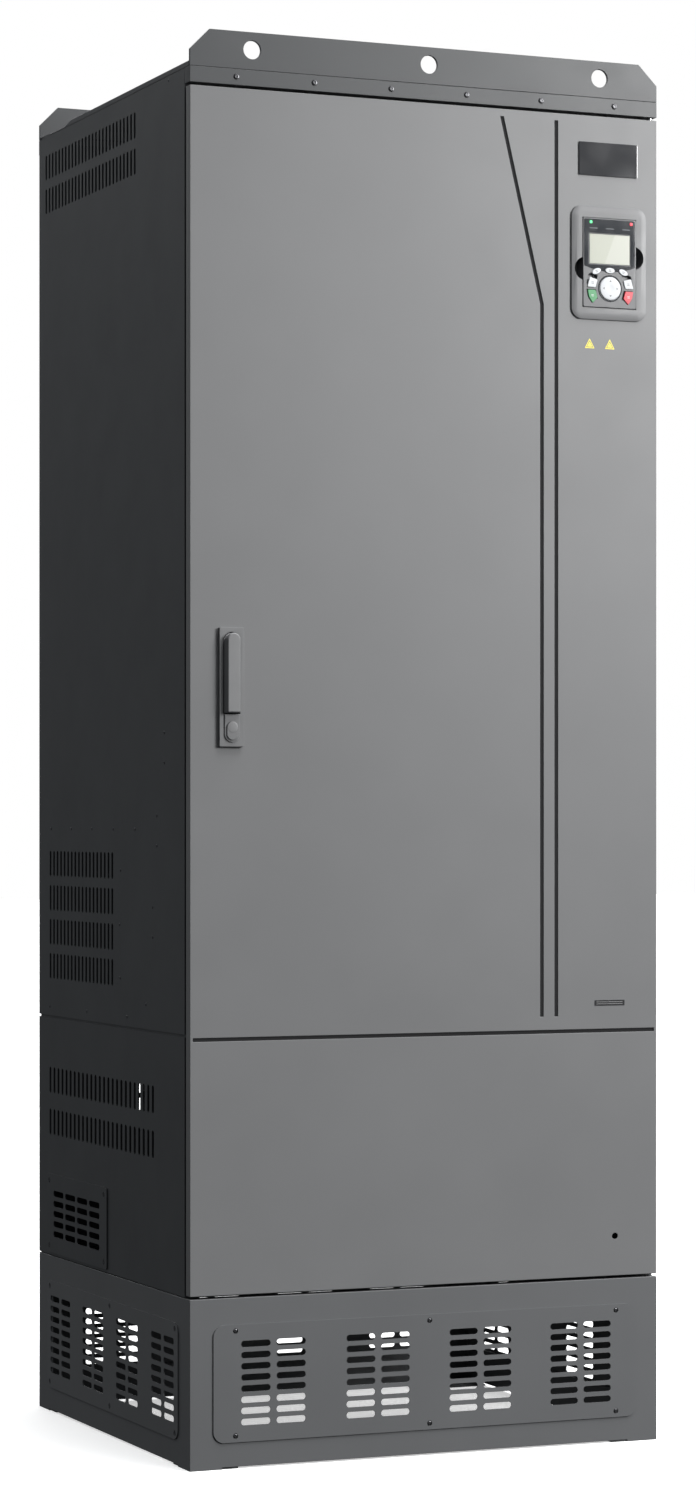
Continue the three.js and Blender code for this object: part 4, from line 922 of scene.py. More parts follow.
@dataclass
class Case:
    """The cabinet's frame, panels, roof and lifting plates."""

    paints: Paints
    # How far the case's front is ahead of the origin, in millimetres.
    front: float = 273.55
    panel_corner: float = 0.5 * MM
    window: Point = (201 * MM, 70 * MM)
    window_corner: float = 3 * MM
    rivet: Sequence[float] = (1.9 * MM, 0.45 * MM, 0.35)
    screws: SunkScrews = SunkScrews()
    cover_corner: float = 4 * MM
    cover_screws: Point = (105.8 * MM, 42.2 * MM)
    screw_hole: Point = (6.6 * MM, 3.29 * MM)
    cover_slot: Sequence[float] = (40 * MM, 8 * MM, 3.99 * MM)
    cover_pitch: Point = (46.4 * MM, 13.05 * MM)
    rear_slot: Point = (10 * MM, 34 * MM)
    rear_columns: int = 15
    rear_pitch: Point = (24 * MM, 40 * MM)
    rear_edge: float = 12 * MM
    lift_thickness: float = 4 * MM
    lift_chamfer: float = 25 * MM
    lift_hole: float = 22 * MM
    lift_hole_pitch: float = 229.6 * MM
    lift_hole_below: float = 21 * MM
    fascia_screw: Point = (3.6 * MM, 1.3 * MM)
    fascia_screw_height: float = 1.646
    fascia_screw_pitch: float = 99.9 * MM

    def build(self) -> None:
        """Makes the whole case."""
        dress("cabinet_frame", self.paints.case, 0.5)
        dress("gland_plate", self.paints.zinc, 0.2)
        dress("roof_panel", self.paints.case, 0.4)
        self.lifting_plate("front_lifting_plate", Way.FRONT)
        self.lifting_plate("rear_lifting_plate", Way.REAR)
        for side, way in (("left", Way.LEFT), ("right", Way.RIGHT)):
            self.upper_side(side, way)
            self.lower_side(side, way)
            self.vent_cover(side, way)
        self.rear_panel("rear_upper_panel", (0.6885, 1.592))
        self.rear_panel("rear_lower_panel", (0.4028,))
        self.fascia_screws()

    def slots(self, node: str, first: float, pitch: float, count: int) -> list[float]:
        """A row of slots that goes forwards from a panel's rear edge.

        Args:
            node: the panel.
            first: from its rear edge to the first slot.
            pitch: from slot to slot.
            count: how many there are.

        Returns:
            Where the slots are, from rear to front.
        """
        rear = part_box(node)[1].y
        return [rear - (first + pitch * i) * MM for i in range(count)]

    def panel(self, node: str, way: Way, vents: Sequence[tuple], windows: Sequence[Point] = ()) -> Skin:
        """Makes a flat panel with rows of upright slots.

        Args:
            node: the CAD node that it stands for.
            way: where it faces.
            vents: for each block of slots, its places across, its rows' heights, and a slot's size.
            windows: the centre of each larger opening.

        Returns:
            The unfinished piece.
        """
        box = Box(node)

        def local(u: float, v: float) -> Point:
            """A place in the drive as a place on the panel."""
            return (u - box.centre[way.across], v - box.centre.z)

        def draw(bm: Shape) -> None:
            """Draws the panel and its openings."""
            rounded(bm, (box.size[way.across], box.size.z), self.panel_corner, segments=8)
            for columns, rows, slot in vents:
                for spot in product(columns, rows):
                    rounded(bm, slot, min(slot) * SLOT_END, local(*spot), 8)
            for spot in windows:
                rounded(bm, self.window, self.window_corner, local(*spot), 8)

        return Skin(node).add(slab(draw, box.size[1 - way.across]), self.paints.case, box.face(way))

    def rivets(self, piece: Piece, way: Way, outer: float, spots: Iterable[Point]) -> None:
        """Sets small blind rivets in a panel.

        Args:
            piece: the panel's piece.
            way: where it faces.
            outer: where its outer face is.
            spots: where the rivets are.
        """
        for u, v in spots:
            piece.add(screw_head(*self.rivet), self.paints.screw, way.at(u, v, outer))

    def upper_side(self, side: str, way: Way) -> None:
        """Makes an upper side panel with its two vents and its rivets.

        Args:
            side: which side, left or right.
            way: where it faces.
        """
        node = f"{side}_upper_panel"
        top = self.slots(node, 28.7, 13.03, 27)
        low = self.slots(node, 46.0, 14.08, 18)
        vents = [
            (top, (1.6151, 1.5711), (6.5 * MM, 32.5 * MM)),
            (low, (0.7102, 0.6659, 0.6219, 0.5777), (7.0 * MM, 33.5 * MM)),
        ]
        piece = self.panel(node, way, vents)
        # How far each rivet is behind the case's front, and how high it is, in millimetres.
        spots = [(87.3, 871.7), (87.3, 835.6), (113, 772.1), (113, 735.9), (243.4, 704.8), (127.5, 661.7)]
        spots += [(246.1, 637.8), (127.5, 625.4), (244.4, 571.8), (151.8, 543.3), (73.2, 1649.6)]
        spots += [(back, 755.6) for back in (510.4, 430.1, 350.5, 270.3, 190.3)]
        spots += [(back, 525) for back in (516, 369.7, 219.8)]
        places = [((back - self.front) * MM, height * MM) for back, height in spots]
        self.rivets(piece, way, Box(node).outer(way), places)
        piece.show()

    def lower_side(self, side: str, way: Way) -> None:
        """Makes a lower side panel with its vent and the window behind the small cover.

        Args:
            side: which side, left or right.
            way: where it faces.
        """
        node = f"{side}_lower_panel"
        cover = Box(f"{side}_vent_cover").centre
        vents = [(self.slots(node, 45.6, 16.09, 25), (0.4298, 0.3756), (8.0 * MM, 34.2 * MM))]
        self.panel(node, way, vents, [(cover.y, cover.z)]).show()

    def vent_cover(self, side: str, way: Way) -> None:
        """Makes the small slotted cover low on a side, with its four screws.

        Args:
            side: which side, left or right.
            way: where it faces.
        """
        node = f"{side}_vent_cover"
        box = Box(node)
        u, v = self.cover_screws
        corners = list(product((-u, u), (-v, v)))
        length, height, end = self.cover_slot
        hole, hole_corner = self.screw_hole

        def draw(bm: Shape) -> None:
            """Draws the cover, its slots and its screw holes."""
            rounded(bm, (box.size.y, box.size.z), self.cover_corner, segments=16)
            for spot in product(spread(4, self.cover_pitch[0]), spread(5, self.cover_pitch[1])):
                rounded(bm, (length, height), end, spot, 12)
            for spot in corners:
                rounded(bm, (hole, hole), hole_corner, spot, 12)

        piece = Skin(node).add(slab(draw, box.size.x), self.paints.case, box.face(way))
        self.screws.add_to(piece, self.paints.screw, box.face(way), corners)
        piece.show()

    def rear_panel(self, node: str, heights: Sequence[float]) -> None:
        """Makes a rear panel with its vents and the rivets along its edges.

        Args:
            node: the CAD node that it stands for.
            heights: the middle of each vent, which has two rows.
        """
        box, edge = Box(node), self.rear_edge
        across, up = self.rear_pitch
        columns = spread(self.rear_columns, across)
        piece = self.panel(node, Way.REAR, [(columns, spread(2, up, z), self.rear_slot) for z in heights])
        spots = product((box.low.x + edge, 0.0, box.high.x - edge), (box.low.z + edge, box.high.z - edge))
        self.rivets(piece, Way.REAR, box.high.y, spots)
        piece.show()

    def lifting_plate(self, node: str, way: Way) -> None:
        """Makes a lifting plate: a chamfered upright with three round holes, and its flat leg.

        Args:
            node: the CAD node that it stands for.
            way: where it faces.
        """
        box, chamfer, hole = Box(node), self.lift_chamfer, self.lift_hole
        half, height = box.size.x / 2, box.size.z

        def draw(bm: Shape) -> None:
            """Draws the upright and its holes."""
            corners = [(-half, 0), (half, 0), (half, height - chamfer), (half - chamfer, height)]
            corners += [(-half + chamfer, height), (-half, height - chamfer)]
            polygon(bm, corners)
            for u in spread(3, self.lift_hole_pitch):
                rounded(bm, (hole, hole), hole / 2 * FULL_ROUND, (u, height - self.lift_hole_below), 32)

        piece = Skin(node)
        place = way.at(0, box.low.z, box.outer(way))
        piece.add(slab(draw, self.lift_thickness, 0.5 * MM), self.paints.case, place)
        leg = Vector((2 * half - 4 * MM, box.size.y - 1 * MM, 3.8 * MM))
        centre = Vector((0, box.centre.y, box.low.z + leg.z / 2))
        piece.add(brick(leg, centre, 0.4 * MM), self.paints.case)
        piece.show()

    def fascia_screws(self) -> None:
        """Makes the six screws under the front lifting plate."""
        piece = Piece("fascia_screws")
        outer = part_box("cabinet_frame")[0].y
        for x in spread(6, self.fascia_screw_pitch):
            place = Way.FRONT.at(x, self.fascia_screw_height, outer)
            piece.add(screw_head(*self.fascia_screw), self.paints.screw, place)
        piece.finish("cabinet", "case_paint")


@dataclass
class Door:
    """The hinged door with its seal, badge and stickers."""

    paints: Paints
    soft: float = 0.5 * MM
    groove: float = 1 * MM
    tag_place: Point = (0.24325, 0.54185)
    tag_size: Point = (41.3 * MM, 7.1 * MM)
    tag_line: Point = (36 * MM, 0.5 * MM)
    marks: Sequence[tuple[str, float]] = (("left_warning_mark", 0.2159), ("right_warning_mark", 0.2435))
    mark_foot: float = 1.3466
    band_foot: float = 1.3479

    def build(self) -> None:
        """Makes the door and what is fixed flat on it."""
        self.panel()
        dress("door_gasket", self.paints.foam, 0.8)
        self.badge()
        self.tag()
        self.warning_marks()
        for node in ("upper_hinge_pin", "lower_hinge_pin"):
            dress(node, self.paints.bright, 0.2)
        for node in ("upper_hinge_bush", "lower_hinge_bush"):
            dress(node, self.paints.nylon, 0.3)

    def panel(self) -> None:
        """Makes the door's panel, with painted shade as dark lines in its pressed grooves."""
        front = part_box("door")[0].y
        piece = Skin("door").add(cad_copy("door", self.soft), self.paints.door)
        # The groove floors take the near-black finish: painted shade where the grooves look dark.
        piece.materials.append(self.paints.painted_shade)
        for face in piece.bm.faces:
            if abs(face.calc_center_median().y - front - self.groove) < 0.1 * MM:
                face.material_index = 1
        piece.show()

    def badge(self) -> None:
        """Makes the blank name plate."""
        box = Box("name_plate")
        rim = plate((box.size.x, box.size.z), 1.5 * MM, box.size.y, 0.35 * MM, 16)
        Skin("name_plate").add(rim, self.paints.badge, box.face()).show()

    def tag(self) -> None:
        """Makes the small blank tag low on the door."""
        outer, (x, z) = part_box("door")[0].y, self.tag_place
        piece = Piece("rating_tag")
        strip = plate(self.tag_size, 0.6 * MM, 0.25 * MM, 0.08 * MM)
        piece.add(strip, self.paints.tag, Way.FRONT.at(x, z, outer - 0.2 * MM))
        for row in (-1.2, 1.2):
            line = plate(self.tag_line, 0.2 * MM, 0.1 * MM)
            piece.add(line, self.paints.tag_print, Way.FRONT.at(x, z + row * MM, outer - 0.24 * MM))
        piece.finish("door", "plate_gloss")

    def warning_marks(self) -> None:
        """Makes two plain yellow triangles under the keypad, each with a dark band inside its edge."""
        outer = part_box("door")[0].y

        def sign(bm: Shape) -> None:
            """Draws the triangle."""
            polygon(bm, triangle(6.7, 0, 12.3), 0.9 * MM, 3)

        def band(bm: Shape) -> None:
            """Draws the dark band."""
            polygon(bm, triangle(4.7, 0, 8.6), 0.5 * MM, 3)
            polygon(bm, triangle(3.7, 0.6, 7.4), 0.3 * MM, 3)

        for name, x in self.marks:
            piece = Piece(name)
            yellow = Way.FRONT.at(x, self.mark_foot, outer - 0.15 * MM)
            piece.add(slab(sign, 0.2 * MM), self.paints.yellow, yellow)
            dark = Way.FRONT.at(x, self.band_foot, outer - 0.2 * MM)
            piece.add(slab(band, 0.1 * MM), self.paints.key_mark, dark)
            piece.finish("door", "plate_gloss")


@dataclass
class SwingHandle:
    """The swing handle: its housing, lever, lock and the bars behind it."""

    paints: Paints
    proud: float = 4.5 * MM
    recess: Point = (21.4 * MM, 5.5 * MM)
    recess_depth: float = 3.2 * MM
    recess_below_lever: float = 1.2 * MM
    tongue: Point = (19 * MM, 6 * MM)
    tongue_from_bottom: float = 5.4 * MM
    tongue_below_lever: float = 1.5 * MM
    draft: float = 0.765
    lever_front: float = 2.8 * MM
    lever_slot: Point = (14 * MM, 9.4 * MM)
    lever_relief: float = 1.5 * MM
    # The cap's profile, in millimetres.
    lock_cap: Sequence[Point] = ((0, -0.3), (5.4, -0.3), (6.2, -0.1), (6.4, 0.3), (6.4, 1.0), (0, 1.0))

    def build(self) -> None:
        """Makes the handle and the lock."""
        self.housing()
        self.lever()
        self.lock()
        dress("handle_hub", self.paints.bright, 0.3)
        dress("lock_barrel", self.paints.bright, 0.2)
        for node in ("lock_cam", "upper_lock_rod", "lower_lock_rod"):
            dress(node, self.paints.zinc, 0.3)

    def housing(self) -> None:
        """Makes the housing: a plate with an arched recess, and the tongue that holds the lock."""
        box = Box("handle_base")
        door_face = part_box("door")[0].y
        lever_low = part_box("handle_lever")[0].z - box.centre.z
        half, side = self.recess[0] / 2, self.tongue[0] / 2

        def arch(bm: Shape) -> None:
            """Draws the recess: straight at its foot and round at its top."""
            corners = upright(half, lever_low - self.recess_below_lever, box.size.z / 2 - self.recess[1])
            polygon(bm, corners, half * FULL_ROUND, 10, only=(2, 3))

        def front(bm: Shape) -> None:
            """Draws the plate with the recess as a hole."""
            rounded(bm, (box.size.x, box.size.z), 1.6 * MM, segments=16)
            arch(bm)

        def tongue(bm: Shape) -> None:
            """Draws the tongue: square at its top and round at its foot."""
            foot = -box.size.z / 2 + self.tongue_from_bottom
            corners = upright(side, foot, lever_low - self.tongue_below_lever)
            polygon(bm, corners, side * FULL_ROUND, 10, only=(0, 1))

        place = Way.FRONT.at(box.centre.x, box.centre.z, door_face - self.proud)
        piece = Skin("handle_base")
        piece.add(slab(front, self.proud + 0.4 * MM, 0.45 * MM), self.paints.handle, place)
        # A near-black sheet at the recess's floor is painted shade.
        piece.add(slab(arch, 1.2 * MM), self.paints.painted_shade, place @ deeper(self.recess_depth))
        ahead = deeper(self.proud - self.tongue[1])
        piece.add(slab(tongue, 4 * MM, 0.5 * MM), self.paints.handle, place @ ahead)
        rear = cad_copy("handle_base", 0.0)
        cut_away(rear, (0, door_face + 0.1 * MM, 0), (0, -1, 0))
        piece.add(rear, self.paints.handle)
        piece.show()

    def lever(self) -> None:
        """Makes the lever: round at its top, with drafted sides and a slot at its back for the hub's lug."""
        box = Box("handle_lever")
        half, height, thickness = box.size.x / 2, box.size.z / 2, box.size.y
        depth = thickness - self.lever_front
        waist = self.draft + (1 - self.draft) * self.lever_front / thickness
        pivot = Box("handle_hub").centre.z - box.centre.z

        def outline(bm: Shape, side: float) -> None:
            """Draws the lever from the front, with a given half width."""
            polygon(bm, upright(side, -height, height), side * FULL_ROUND, 12, only=(2, 3))

        def slotted(bm: Shape) -> None:
            """Draws the lever's rear part."""
            outline(bm, half)
            rounded(bm, self.lever_slot, 1 * MM, (0, pivot), 8)

        taper = (self.draft / waist, 0.98)
        front = slab(lambda bm: outline(bm, half * waist), self.lever_front, 0.9 * MM, taper, 3)
        rear = slab(slotted, depth, 0.0, (waist, 1.0))
        # The rear part's upper end slants, so that it clears the housing when the lever lifts.
        slope = (0, thickness - 2 * MM, half - self.lever_relief)
        cut_away(rear, (0, pivot + self.lever_relief, depth), slope)
        bmesh.ops.recalc_face_normals(rear, faces=rear.faces[:])
        piece = Skin("handle_lever")
        piece.add(front, self.paints.lever, box.face())
        piece.add(rear, self.paints.lever, box.face(ahead=-self.lever_front))
        piece.show()

    def lock(self) -> None:
        """Makes the lock's dust cover: an oval tab with a round cap at its pivot."""
        box = Box("lock_cover")
        radius, seat = box.size.x / 2, box.low.y + 0.3 * MM
        tab = plate((box.size.x, box.size.z), radius * FULL_ROUND, 2.0 * MM, 0.5 * MM, 32)
        cap = turned(self.lock_cap, 32, MM)
        piece = Skin("lock_cover")
        piece.add(tab, self.paints.handle, Way.FRONT.at(box.centre.x, box.centre.z, seat))
        piece.add(cap, self.paints.lever, Way.FRONT.at(box.centre.x, box.high.z - radius, seat))
        piece.show()


@dataclass
class Keypad:
    """The operator keypad in its raised bezel."""

    paints: Paints
    window_lift: float = 0.35 * MM
    window_edge: float = 1.3 * MM
    window_dip: float = 6.5 * MM
    window_steps: int = 12
    window_foot: float = 3.0 * MM
    display_edge: float = 1.4 * MM
    painted_highlight: Point = (11 * MM, 1.1 * MM)
    painted_highlight_pitch: float = 22.5 * MM
    painted_highlight_below: float = 11.2 * MM
    lamp_size: float = 3.6 * MM
    lamp_height: float = 1.5014
    run_lamp_x: float = 0.2157
    fault_lamp_x: float = 0.2709
    oval: Point = (12.8 * MM, 6.8 * MM)
    oval_tilt: float = 22.0
    ring: Point = (16.6 * MM, 14.7 * MM)
    key_soft: float = 0.55 * MM
    key_corner: float = 1.3 * MM
    key_depth: float = 2 * MM
    mark: Point = (3.4 * MM, 0.6 * MM)
    mark_lift: float = 0.04 * MM
    # The corners of the keys left of the pad, from its middle, in millimetres.
    upper_key: Sequence[Point] = ((-28.3, 13.0), (-17.7, 10.3), (-20.4, 0.4), (-31.6, 0.8))
    lower_key: Sequence[Point] = (
        (-31.6, -2.7), (-20.4, -2.6), (-17.7, -12.0), (-24.5, -19.0), (-29.6, -11.6)
    )
    front: float = field(init=False)
    hub: Vector = field(init=False)

    def __post_init__(self) -> None:
        """Finds the keypad's face and the middle of its round pad."""
        self.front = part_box("keypad_body")[0].y
        self.hub = Box("navigation_pad").centre

    def build(self) -> None:
        """Makes the keypad."""
        dress("keypad_bezel", self.paints.bezel, 0.3)
        dress("keypad_body", self.paints.keypad, 0.5)
        dress("keypad_screen", self.paints.display, 0.15)
        self.window()
        self.lamp("run_lamp", self.run_lamp_x, self.paints.green_lamp)
        self.lamp("fault_lamp", self.fault_lamp_x, self.paints.red_lamp)
        self.oval_keys()
        self.corner_keys()
        self.navigation_pad()
        self.navigation_ring()

    def window(self) -> None:
        """Makes the glossy panel round the display, curved along its lower edge, with three painted
        highlights.
        """
        box, screen = Box("keypad_body"), Box("keypad_screen")
        half = box.size.x / 2 - self.window_edge
        top = box.high.z - box.centre.z - self.window_edge
        shoulder = screen.low.z - box.centre.z - self.window_foot
        steps = [2 * i / self.window_steps - 1 for i in range(self.window_steps + 1)]
        curve = [(half * step, shoulder - self.window_dip * (1 - step**2)) for step in steps]
        edge = 2 * self.display_edge

        def outline(bm: Shape) -> None:
            """Draws the panel and the display's window."""
            upper = (len(curve), len(curve) + 1)
            polygon(bm, [*curve, (half, top), (-half, top)], 2 * MM, 4, only=upper)
            place = (screen.centre.x - box.centre.x, screen.centre.z - box.centre.z)
            rounded(bm, (screen.size.x + edge, screen.size.z + edge), 1 * MM, place, 8)

        panel = slab(outline, self.window_lift + 0.2 * MM, 0.15 * MM)
        place = Way.FRONT.at(box.centre.x, box.centre.z, self.front - self.window_lift)
        piece = Piece("keypad_window").add(panel, self.paints.keypad_gloss, place)
        # Three lighter bars near the panel's top are painted highlights.
        for x in spread(3, self.painted_highlight_pitch):
            line = plate(self.painted_highlight, 0.54 * MM, 0.3 * MM, 0.1 * MM, 12)
            seat = deeper(-0.12 * MM, x, top - self.painted_highlight_below)
            piece.add(line, self.paints.keypad_painted_highlight, place @ seat)
        piece.finish("door", "keypad_gloss")

    def lamp(self, name: str, x: float, material: Material) -> None:
        """Makes a signal lamp above the display.

        Args:
            name: the lamp's name.
            x: where it is across.
            material: its finish.
        """
        lens = plate((self.lamp_size, self.lamp_size), 1.0 * MM, 0.7 * MM, 0.3 * MM, 16)
        place = Way.FRONT.at(x, self.lamp_height, self.front - 0.55 * MM)
        Piece(name).add(lens, material, place).finish("door", "keypad_gloss")

    def key(self, node: str, shape: Shape, material: Material, place: Matrix) -> None:
        """Makes a key and the two short bars on it.

        Args:
            node: the CAD node that it stands for.
            shape: its cap, with its face at zero.
            material: its finish.
            place: where its middle goes.
        """
        piece = Skin(node).add(shape, material, place)
        paint = self.paints.white_key if node in ("run_key", "stop_key") else self.paints.key_mark
        for row in (-0.8, 0.8):
            bar = plate(self.mark, 0.28 * MM, 0.1 * MM)
            piece.add(bar, paint, place @ deeper(-self.mark_lift, 0, row * MM))
        piece.show()

    def oval_keys(self) -> None:
        """Makes the three oval keys under the display."""

        def draw(bm: Shape) -> None:
            """Draws the oval."""
            ring = bmesh.ops.create_circle(bm, segments=28, radius=self.oval[0] / 2)["verts"]
            bmesh.ops.scale(bm, verts=ring, vec=(1.0, self.oval[1] / self.oval[0], 1.0))

        for node, tilt in (("left_function_key", 1), ("middle_function_key", 0), ("right_function_key", -1)):
            cap = slab(draw, self.key_depth, self.key_soft, segments=3)
            turn = Matrix.Rotation(math.radians(self.oval_tilt * tilt), 4, "Z")
            self.key(node, cap, self.paints.white_key, Box(node).face() @ turn)

    def corner_keys(self) -> None:
        """Makes the four keys round the navigation pad."""
        for node, corners, side, material in (
            ("upper_left_key", self.upper_key, 1, self.paints.white_key),
            ("upper_right_key", self.upper_key, -1, self.paints.white_key),
            ("run_key", self.lower_key, 1, self.paints.green_key),
            ("stop_key", self.lower_key, -1, self.paints.red_key),
        ):
            centre = Vector((sum(u for u, _ in corners), sum(v for _, v in corners))) / len(corners)
            local = [(side * (u - centre.x) * MM, (v - centre.y) * MM) for u, v in corners]
            cap = slab(
                lambda bm: polygon(bm, local, self.key_corner), self.key_depth, self.key_soft, segments=3
            )
            x, z = self.hub.x + side * centre.x * MM, self.hub.z + centre.y * MM
            self.key(node, cap, material, Way.FRONT.at(x, z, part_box(node)[0].y))

    def navigation_pad(self) -> None:
        """Makes the round pad with its four arrow marks."""
        box = Box("navigation_pad")
        radius, place = box.size.x / 2, box.face()
        dish = [(0, 0.15 * MM), (radius * 0.3, 0.12 * MM), (radius * 0.42, 0.0), (radius * 0.86, 0.05 * MM)]
        rim = [(radius * 0.96, 0.3 * MM), (radius, 0.9 * MM), (radius, 2 * MM), (0, 2 * MM)]
        piece = Skin("navigation_pad").add(turned(dish + rim, 48), self.paints.white_key, place)
        for quarter in range(4):
            arrow = slab(lambda bm: polygon(bm, triangle(1.5, 8.3, 10.2)), 0.1 * MM)
            turn = Matrix.Rotation(quarter * math.pi / 2, 4, "Z")
            piece.add(arrow, self.paints.key_mark, place @ turn @ deeper(-self.mark_lift))
        piece.show()

    def navigation_ring(self) -> None:
        """Makes the dark ring round the pad."""

        def draw(bm: Shape) -> None:
            """Draws the ring."""
            for radius in self.ring:
                rounded(bm, (2 * radius, 2 * radius), radius * FULL_ROUND, segments=48)

        seat = Way.FRONT.at(self.hub.x, self.hub.z, self.front - 0.2 * MM)
        band = slab(draw, 0.3 * MM, 0.1 * MM)
        Piece("navigation_ring").add(band, self.paints.keypad_gloss, seat).finish("door", "keypad_gloss")


@dataclass
class PowerStage:
    """What the cabinet holds: duct, heat sink, modules, capacitors, boards, terminals and fans."""

    paints: Paints
    can_pitch: Point = (86 * MM, 104 * MM)
    can_radius: float = 38 * MM
    can_plate: float = 3 * MM
    can_rim: float = 4 * MM
    stud: Point = (5 * MM, 2.5 * MM)
    stud_apart: float = 28 * MM
    board_terminals: int = 14
    board_can_places: Sequence[Point] = ((0.26, 0.34), (0.31, 0.34), (0.26, 0.27), (0.31, 0.27))
    # A can's profile, in millimetres.
    board_can: Sequence[Point] = ((0, 0.3), (5.2, 0.3), (6, 1.1), (6, 18.2), (0, 18.2))
    board_can_height: float = 18 * MM
    poles: int = 3
    lug: Point = (26 * MM, 30 * MM)
    lug_step: float = 16 * MM
    lug_screw: Point = (7.5 * MM, 5 * MM)
    hub_radius: float = 33 * MM

    def build(self) -> None:
        """Makes the power stage."""
        for node, material, soft in (
            ("duct_wall", self.paints.zinc, 0.3),
            ("heat_sink", self.paints.aluminium, 0.2),
            ("igbt_module_u", self.paints.module, 0.5),
            ("igbt_module_v", self.paints.module, 0.5),
            ("igbt_module_w", self.paints.module, 0.5),
            ("rectifier_module", self.paints.module, 0.5),
            ("dc_bus_plate", self.paints.copper, 0.3),
            ("board_tray", self.paints.zinc, 0.3),
            ("control_board", self.paints.board, 0.1),
            ("input_terminal_block", self.paints.terminal, 0.4),
            ("output_terminal_block", self.paints.terminal, 0.4),
            ("left_fan_housing", self.paints.fan, 0.6),
            ("right_fan_housing", self.paints.fan, 0.6),
            ("left_fan_impeller", self.paints.fan, 0.2),
            ("right_fan_impeller", self.paints.fan, 0.2),
        ):
            dress(node, material, soft)
        self.capacitors()
        self.board_parts()
        self.tray_screws()
        for node in ("input_terminal_block", "output_terminal_block"):
            self.terminals(node)
        for side in ("left", "right"):
            self.fan_hub(side)

    def capacitors(self) -> None:
        """Makes the capacitor bank: sleeved cans with bright tops and two studs each, on a carrier."""
        box = Box("capacitor_bank")
        radius, rim = self.can_radius, self.can_radius - self.can_rim
        foot = box.size.y - self.can_plate + 0.5 * MM
        piece = Skin("capacitor_bank")
        carrier = plate((box.size.x, box.size.z), 3 * MM, self.can_plate, 0.4 * MM, 16)
        seat = Way.FRONT.at(box.centre.x, box.centre.z, box.high.y - self.can_plate)
        piece.add(carrier, self.paints.zinc, seat)
        sleeve = [(0, 2 * MM), (rim, 2 * MM), (rim + 0.6 * MM, 0.4 * MM), (radius - 2.4 * MM, 0)]
        sleeve += [(radius - 0.8 * MM, 0.8 * MM), (radius, 3 * MM), (radius, foot), (0, foot)]
        lid = rim - 0.3 * MM
        top = [(0, 1.0 * MM), (rim - 1 * MM, 1.0 * MM), (lid, 1.6 * MM), (lid, 3 * MM), (0, 3 * MM)]
        columns = int(box.size.x // self.can_pitch[0])
        rows = int(box.size.z // self.can_pitch[1])
        for x, z in product(
            spread(columns, self.can_pitch[0], box.centre.x), spread(rows, self.can_pitch[1], box.centre.z)
        ):
            place = Way.FRONT.at(x, z, box.low.y)
            piece.add(turned(sleeve, 32), self.paints.sleeve, place)
            piece.add(turned(top, 32), self.paints.aluminium, place)
            for u in spread(2, self.stud_apart):
                piece.add(screw_head(*self.stud), self.paints.bright, place @ deeper(1.2 * MM, u))
        piece.show()

    def on_board(self, u: float, v: float, lift: float) -> Matrix:
        """The matrix that puts a part on the control board.

        Args:
            u: how far it is from the board's middle, as a share of the board's width.
            v: how far it is above the middle, as a share of the board's height.
            lift: how far its top stands off the board.

        Returns:
            A 4 by 4 matrix.
        """
        box = Box("control_board")
        x, z = box.centre.x + u * box.size.x, box.centre.z + v * box.size.z
        return Way.FRONT.at(x, z, box.low.y - lift)

    def board_parts(self) -> None:
        """Makes what stands on the control board: chips, sockets, small cans and a row of terminals."""
        # Each part's place as shares of the board, then its width, height and depth in millimetres.
        chips = [(-0.10, 0.12, 28, 28, 2.4), (0.14, 0.18, 20, 20, 2.0), (0.12, -0.06, 24, 12, 2.2)]
        chips += [(-0.28, -0.02, 14, 10, 2)]
        chips += [(u, -0.20, 19, 16, 15) for u in (-0.34, -0.24, -0.14)]
        sockets = [(-0.38, 0.41, 40, 9, 11), (-0.12, 0.41, 30, 9, 11)]
        sockets += [(0.42, 0.10, 9, 42, 11), (0.42, -0.22, 9, 30, 11)]
        chip_piece, socket_piece = Piece("control_board_chips"), Piece("control_board_sockets")
        for piece, material, parts in (
            (chip_piece, self.paints.chip, chips),
            (socket_piece, self.paints.socket, sockets),
        ):
            for u, v, width, height, depth in parts:
                part = plate((width * MM, height * MM), 0.8 * MM, depth * MM + 0.2 * MM, 0.3 * MM)
                piece.add(part, material, self.on_board(u, v, depth * MM))
        for u in spread(self.board_terminals, 0.058):
            place = self.on_board(u, -0.43, 10 * MM)
            block = plate((16 * MM, 14 * MM), 0.8 * MM, 10.2 * MM, 0.4 * MM)
            socket_piece.add(block, self.paints.terminal, place)
            socket_piece.add(screw_head(3.2 * MM, 1.0 * MM), self.paints.bright, place)
        for u, v in self.board_can_places:
            can = turned(self.board_can, 20, MM)
            chip_piece.add(can, self.paints.sleeve, self.on_board(u, v, self.board_can_height))
        chip_piece.finish("cabinet", slot_of("control_board"))
        socket_piece.finish("cabinet", slot_of("control_board"))

    def tray_screws(self) -> None:
        """Makes the screws at the tray's corners and at the control board's."""
        piece = Piece("power_stage_screws")
        for node, inset, radius in (("board_tray", 14 * MM, 4.2 * MM), ("control_board", 8 * MM, 3 * MM)):
            box = Box(node)
            columns = spread(2, box.size.x - 2 * inset, box.centre.x)
            for x, z in product(columns, spread(2, box.size.z - 2 * inset, box.centre.z)):
                head = screw_head(radius, radius * 0.5)
                piece.add(head, self.paints.bright, Way.FRONT.at(x, z, box.low.y))
        piece.finish("cabinet", slot_of("board_tray"))

    def terminals(self, node: str) -> None:
        """Makes a terminal block's lugs and screws.

        Args:
            node: the block.
        """
        box = Box(node)
        face = box.low.y + self.lug_step
        piece = Piece(node + "_lugs")
        for x in spread(self.poles, (box.size.x - 5 * MM) / self.poles, box.centre.x):
            lug = plate(self.lug, 3 * MM, 3 * MM, 0.4 * MM, 12)
            place = Way.FRONT.at(x, box.centre.z, face - 2.8 * MM)
            piece.add(lug, self.paints.copper, place)
            piece.add(screw_head(*self.lug_screw), self.paints.bright, place)
        piece.finish("cabinet", slot_of("dc_bus_plate"))

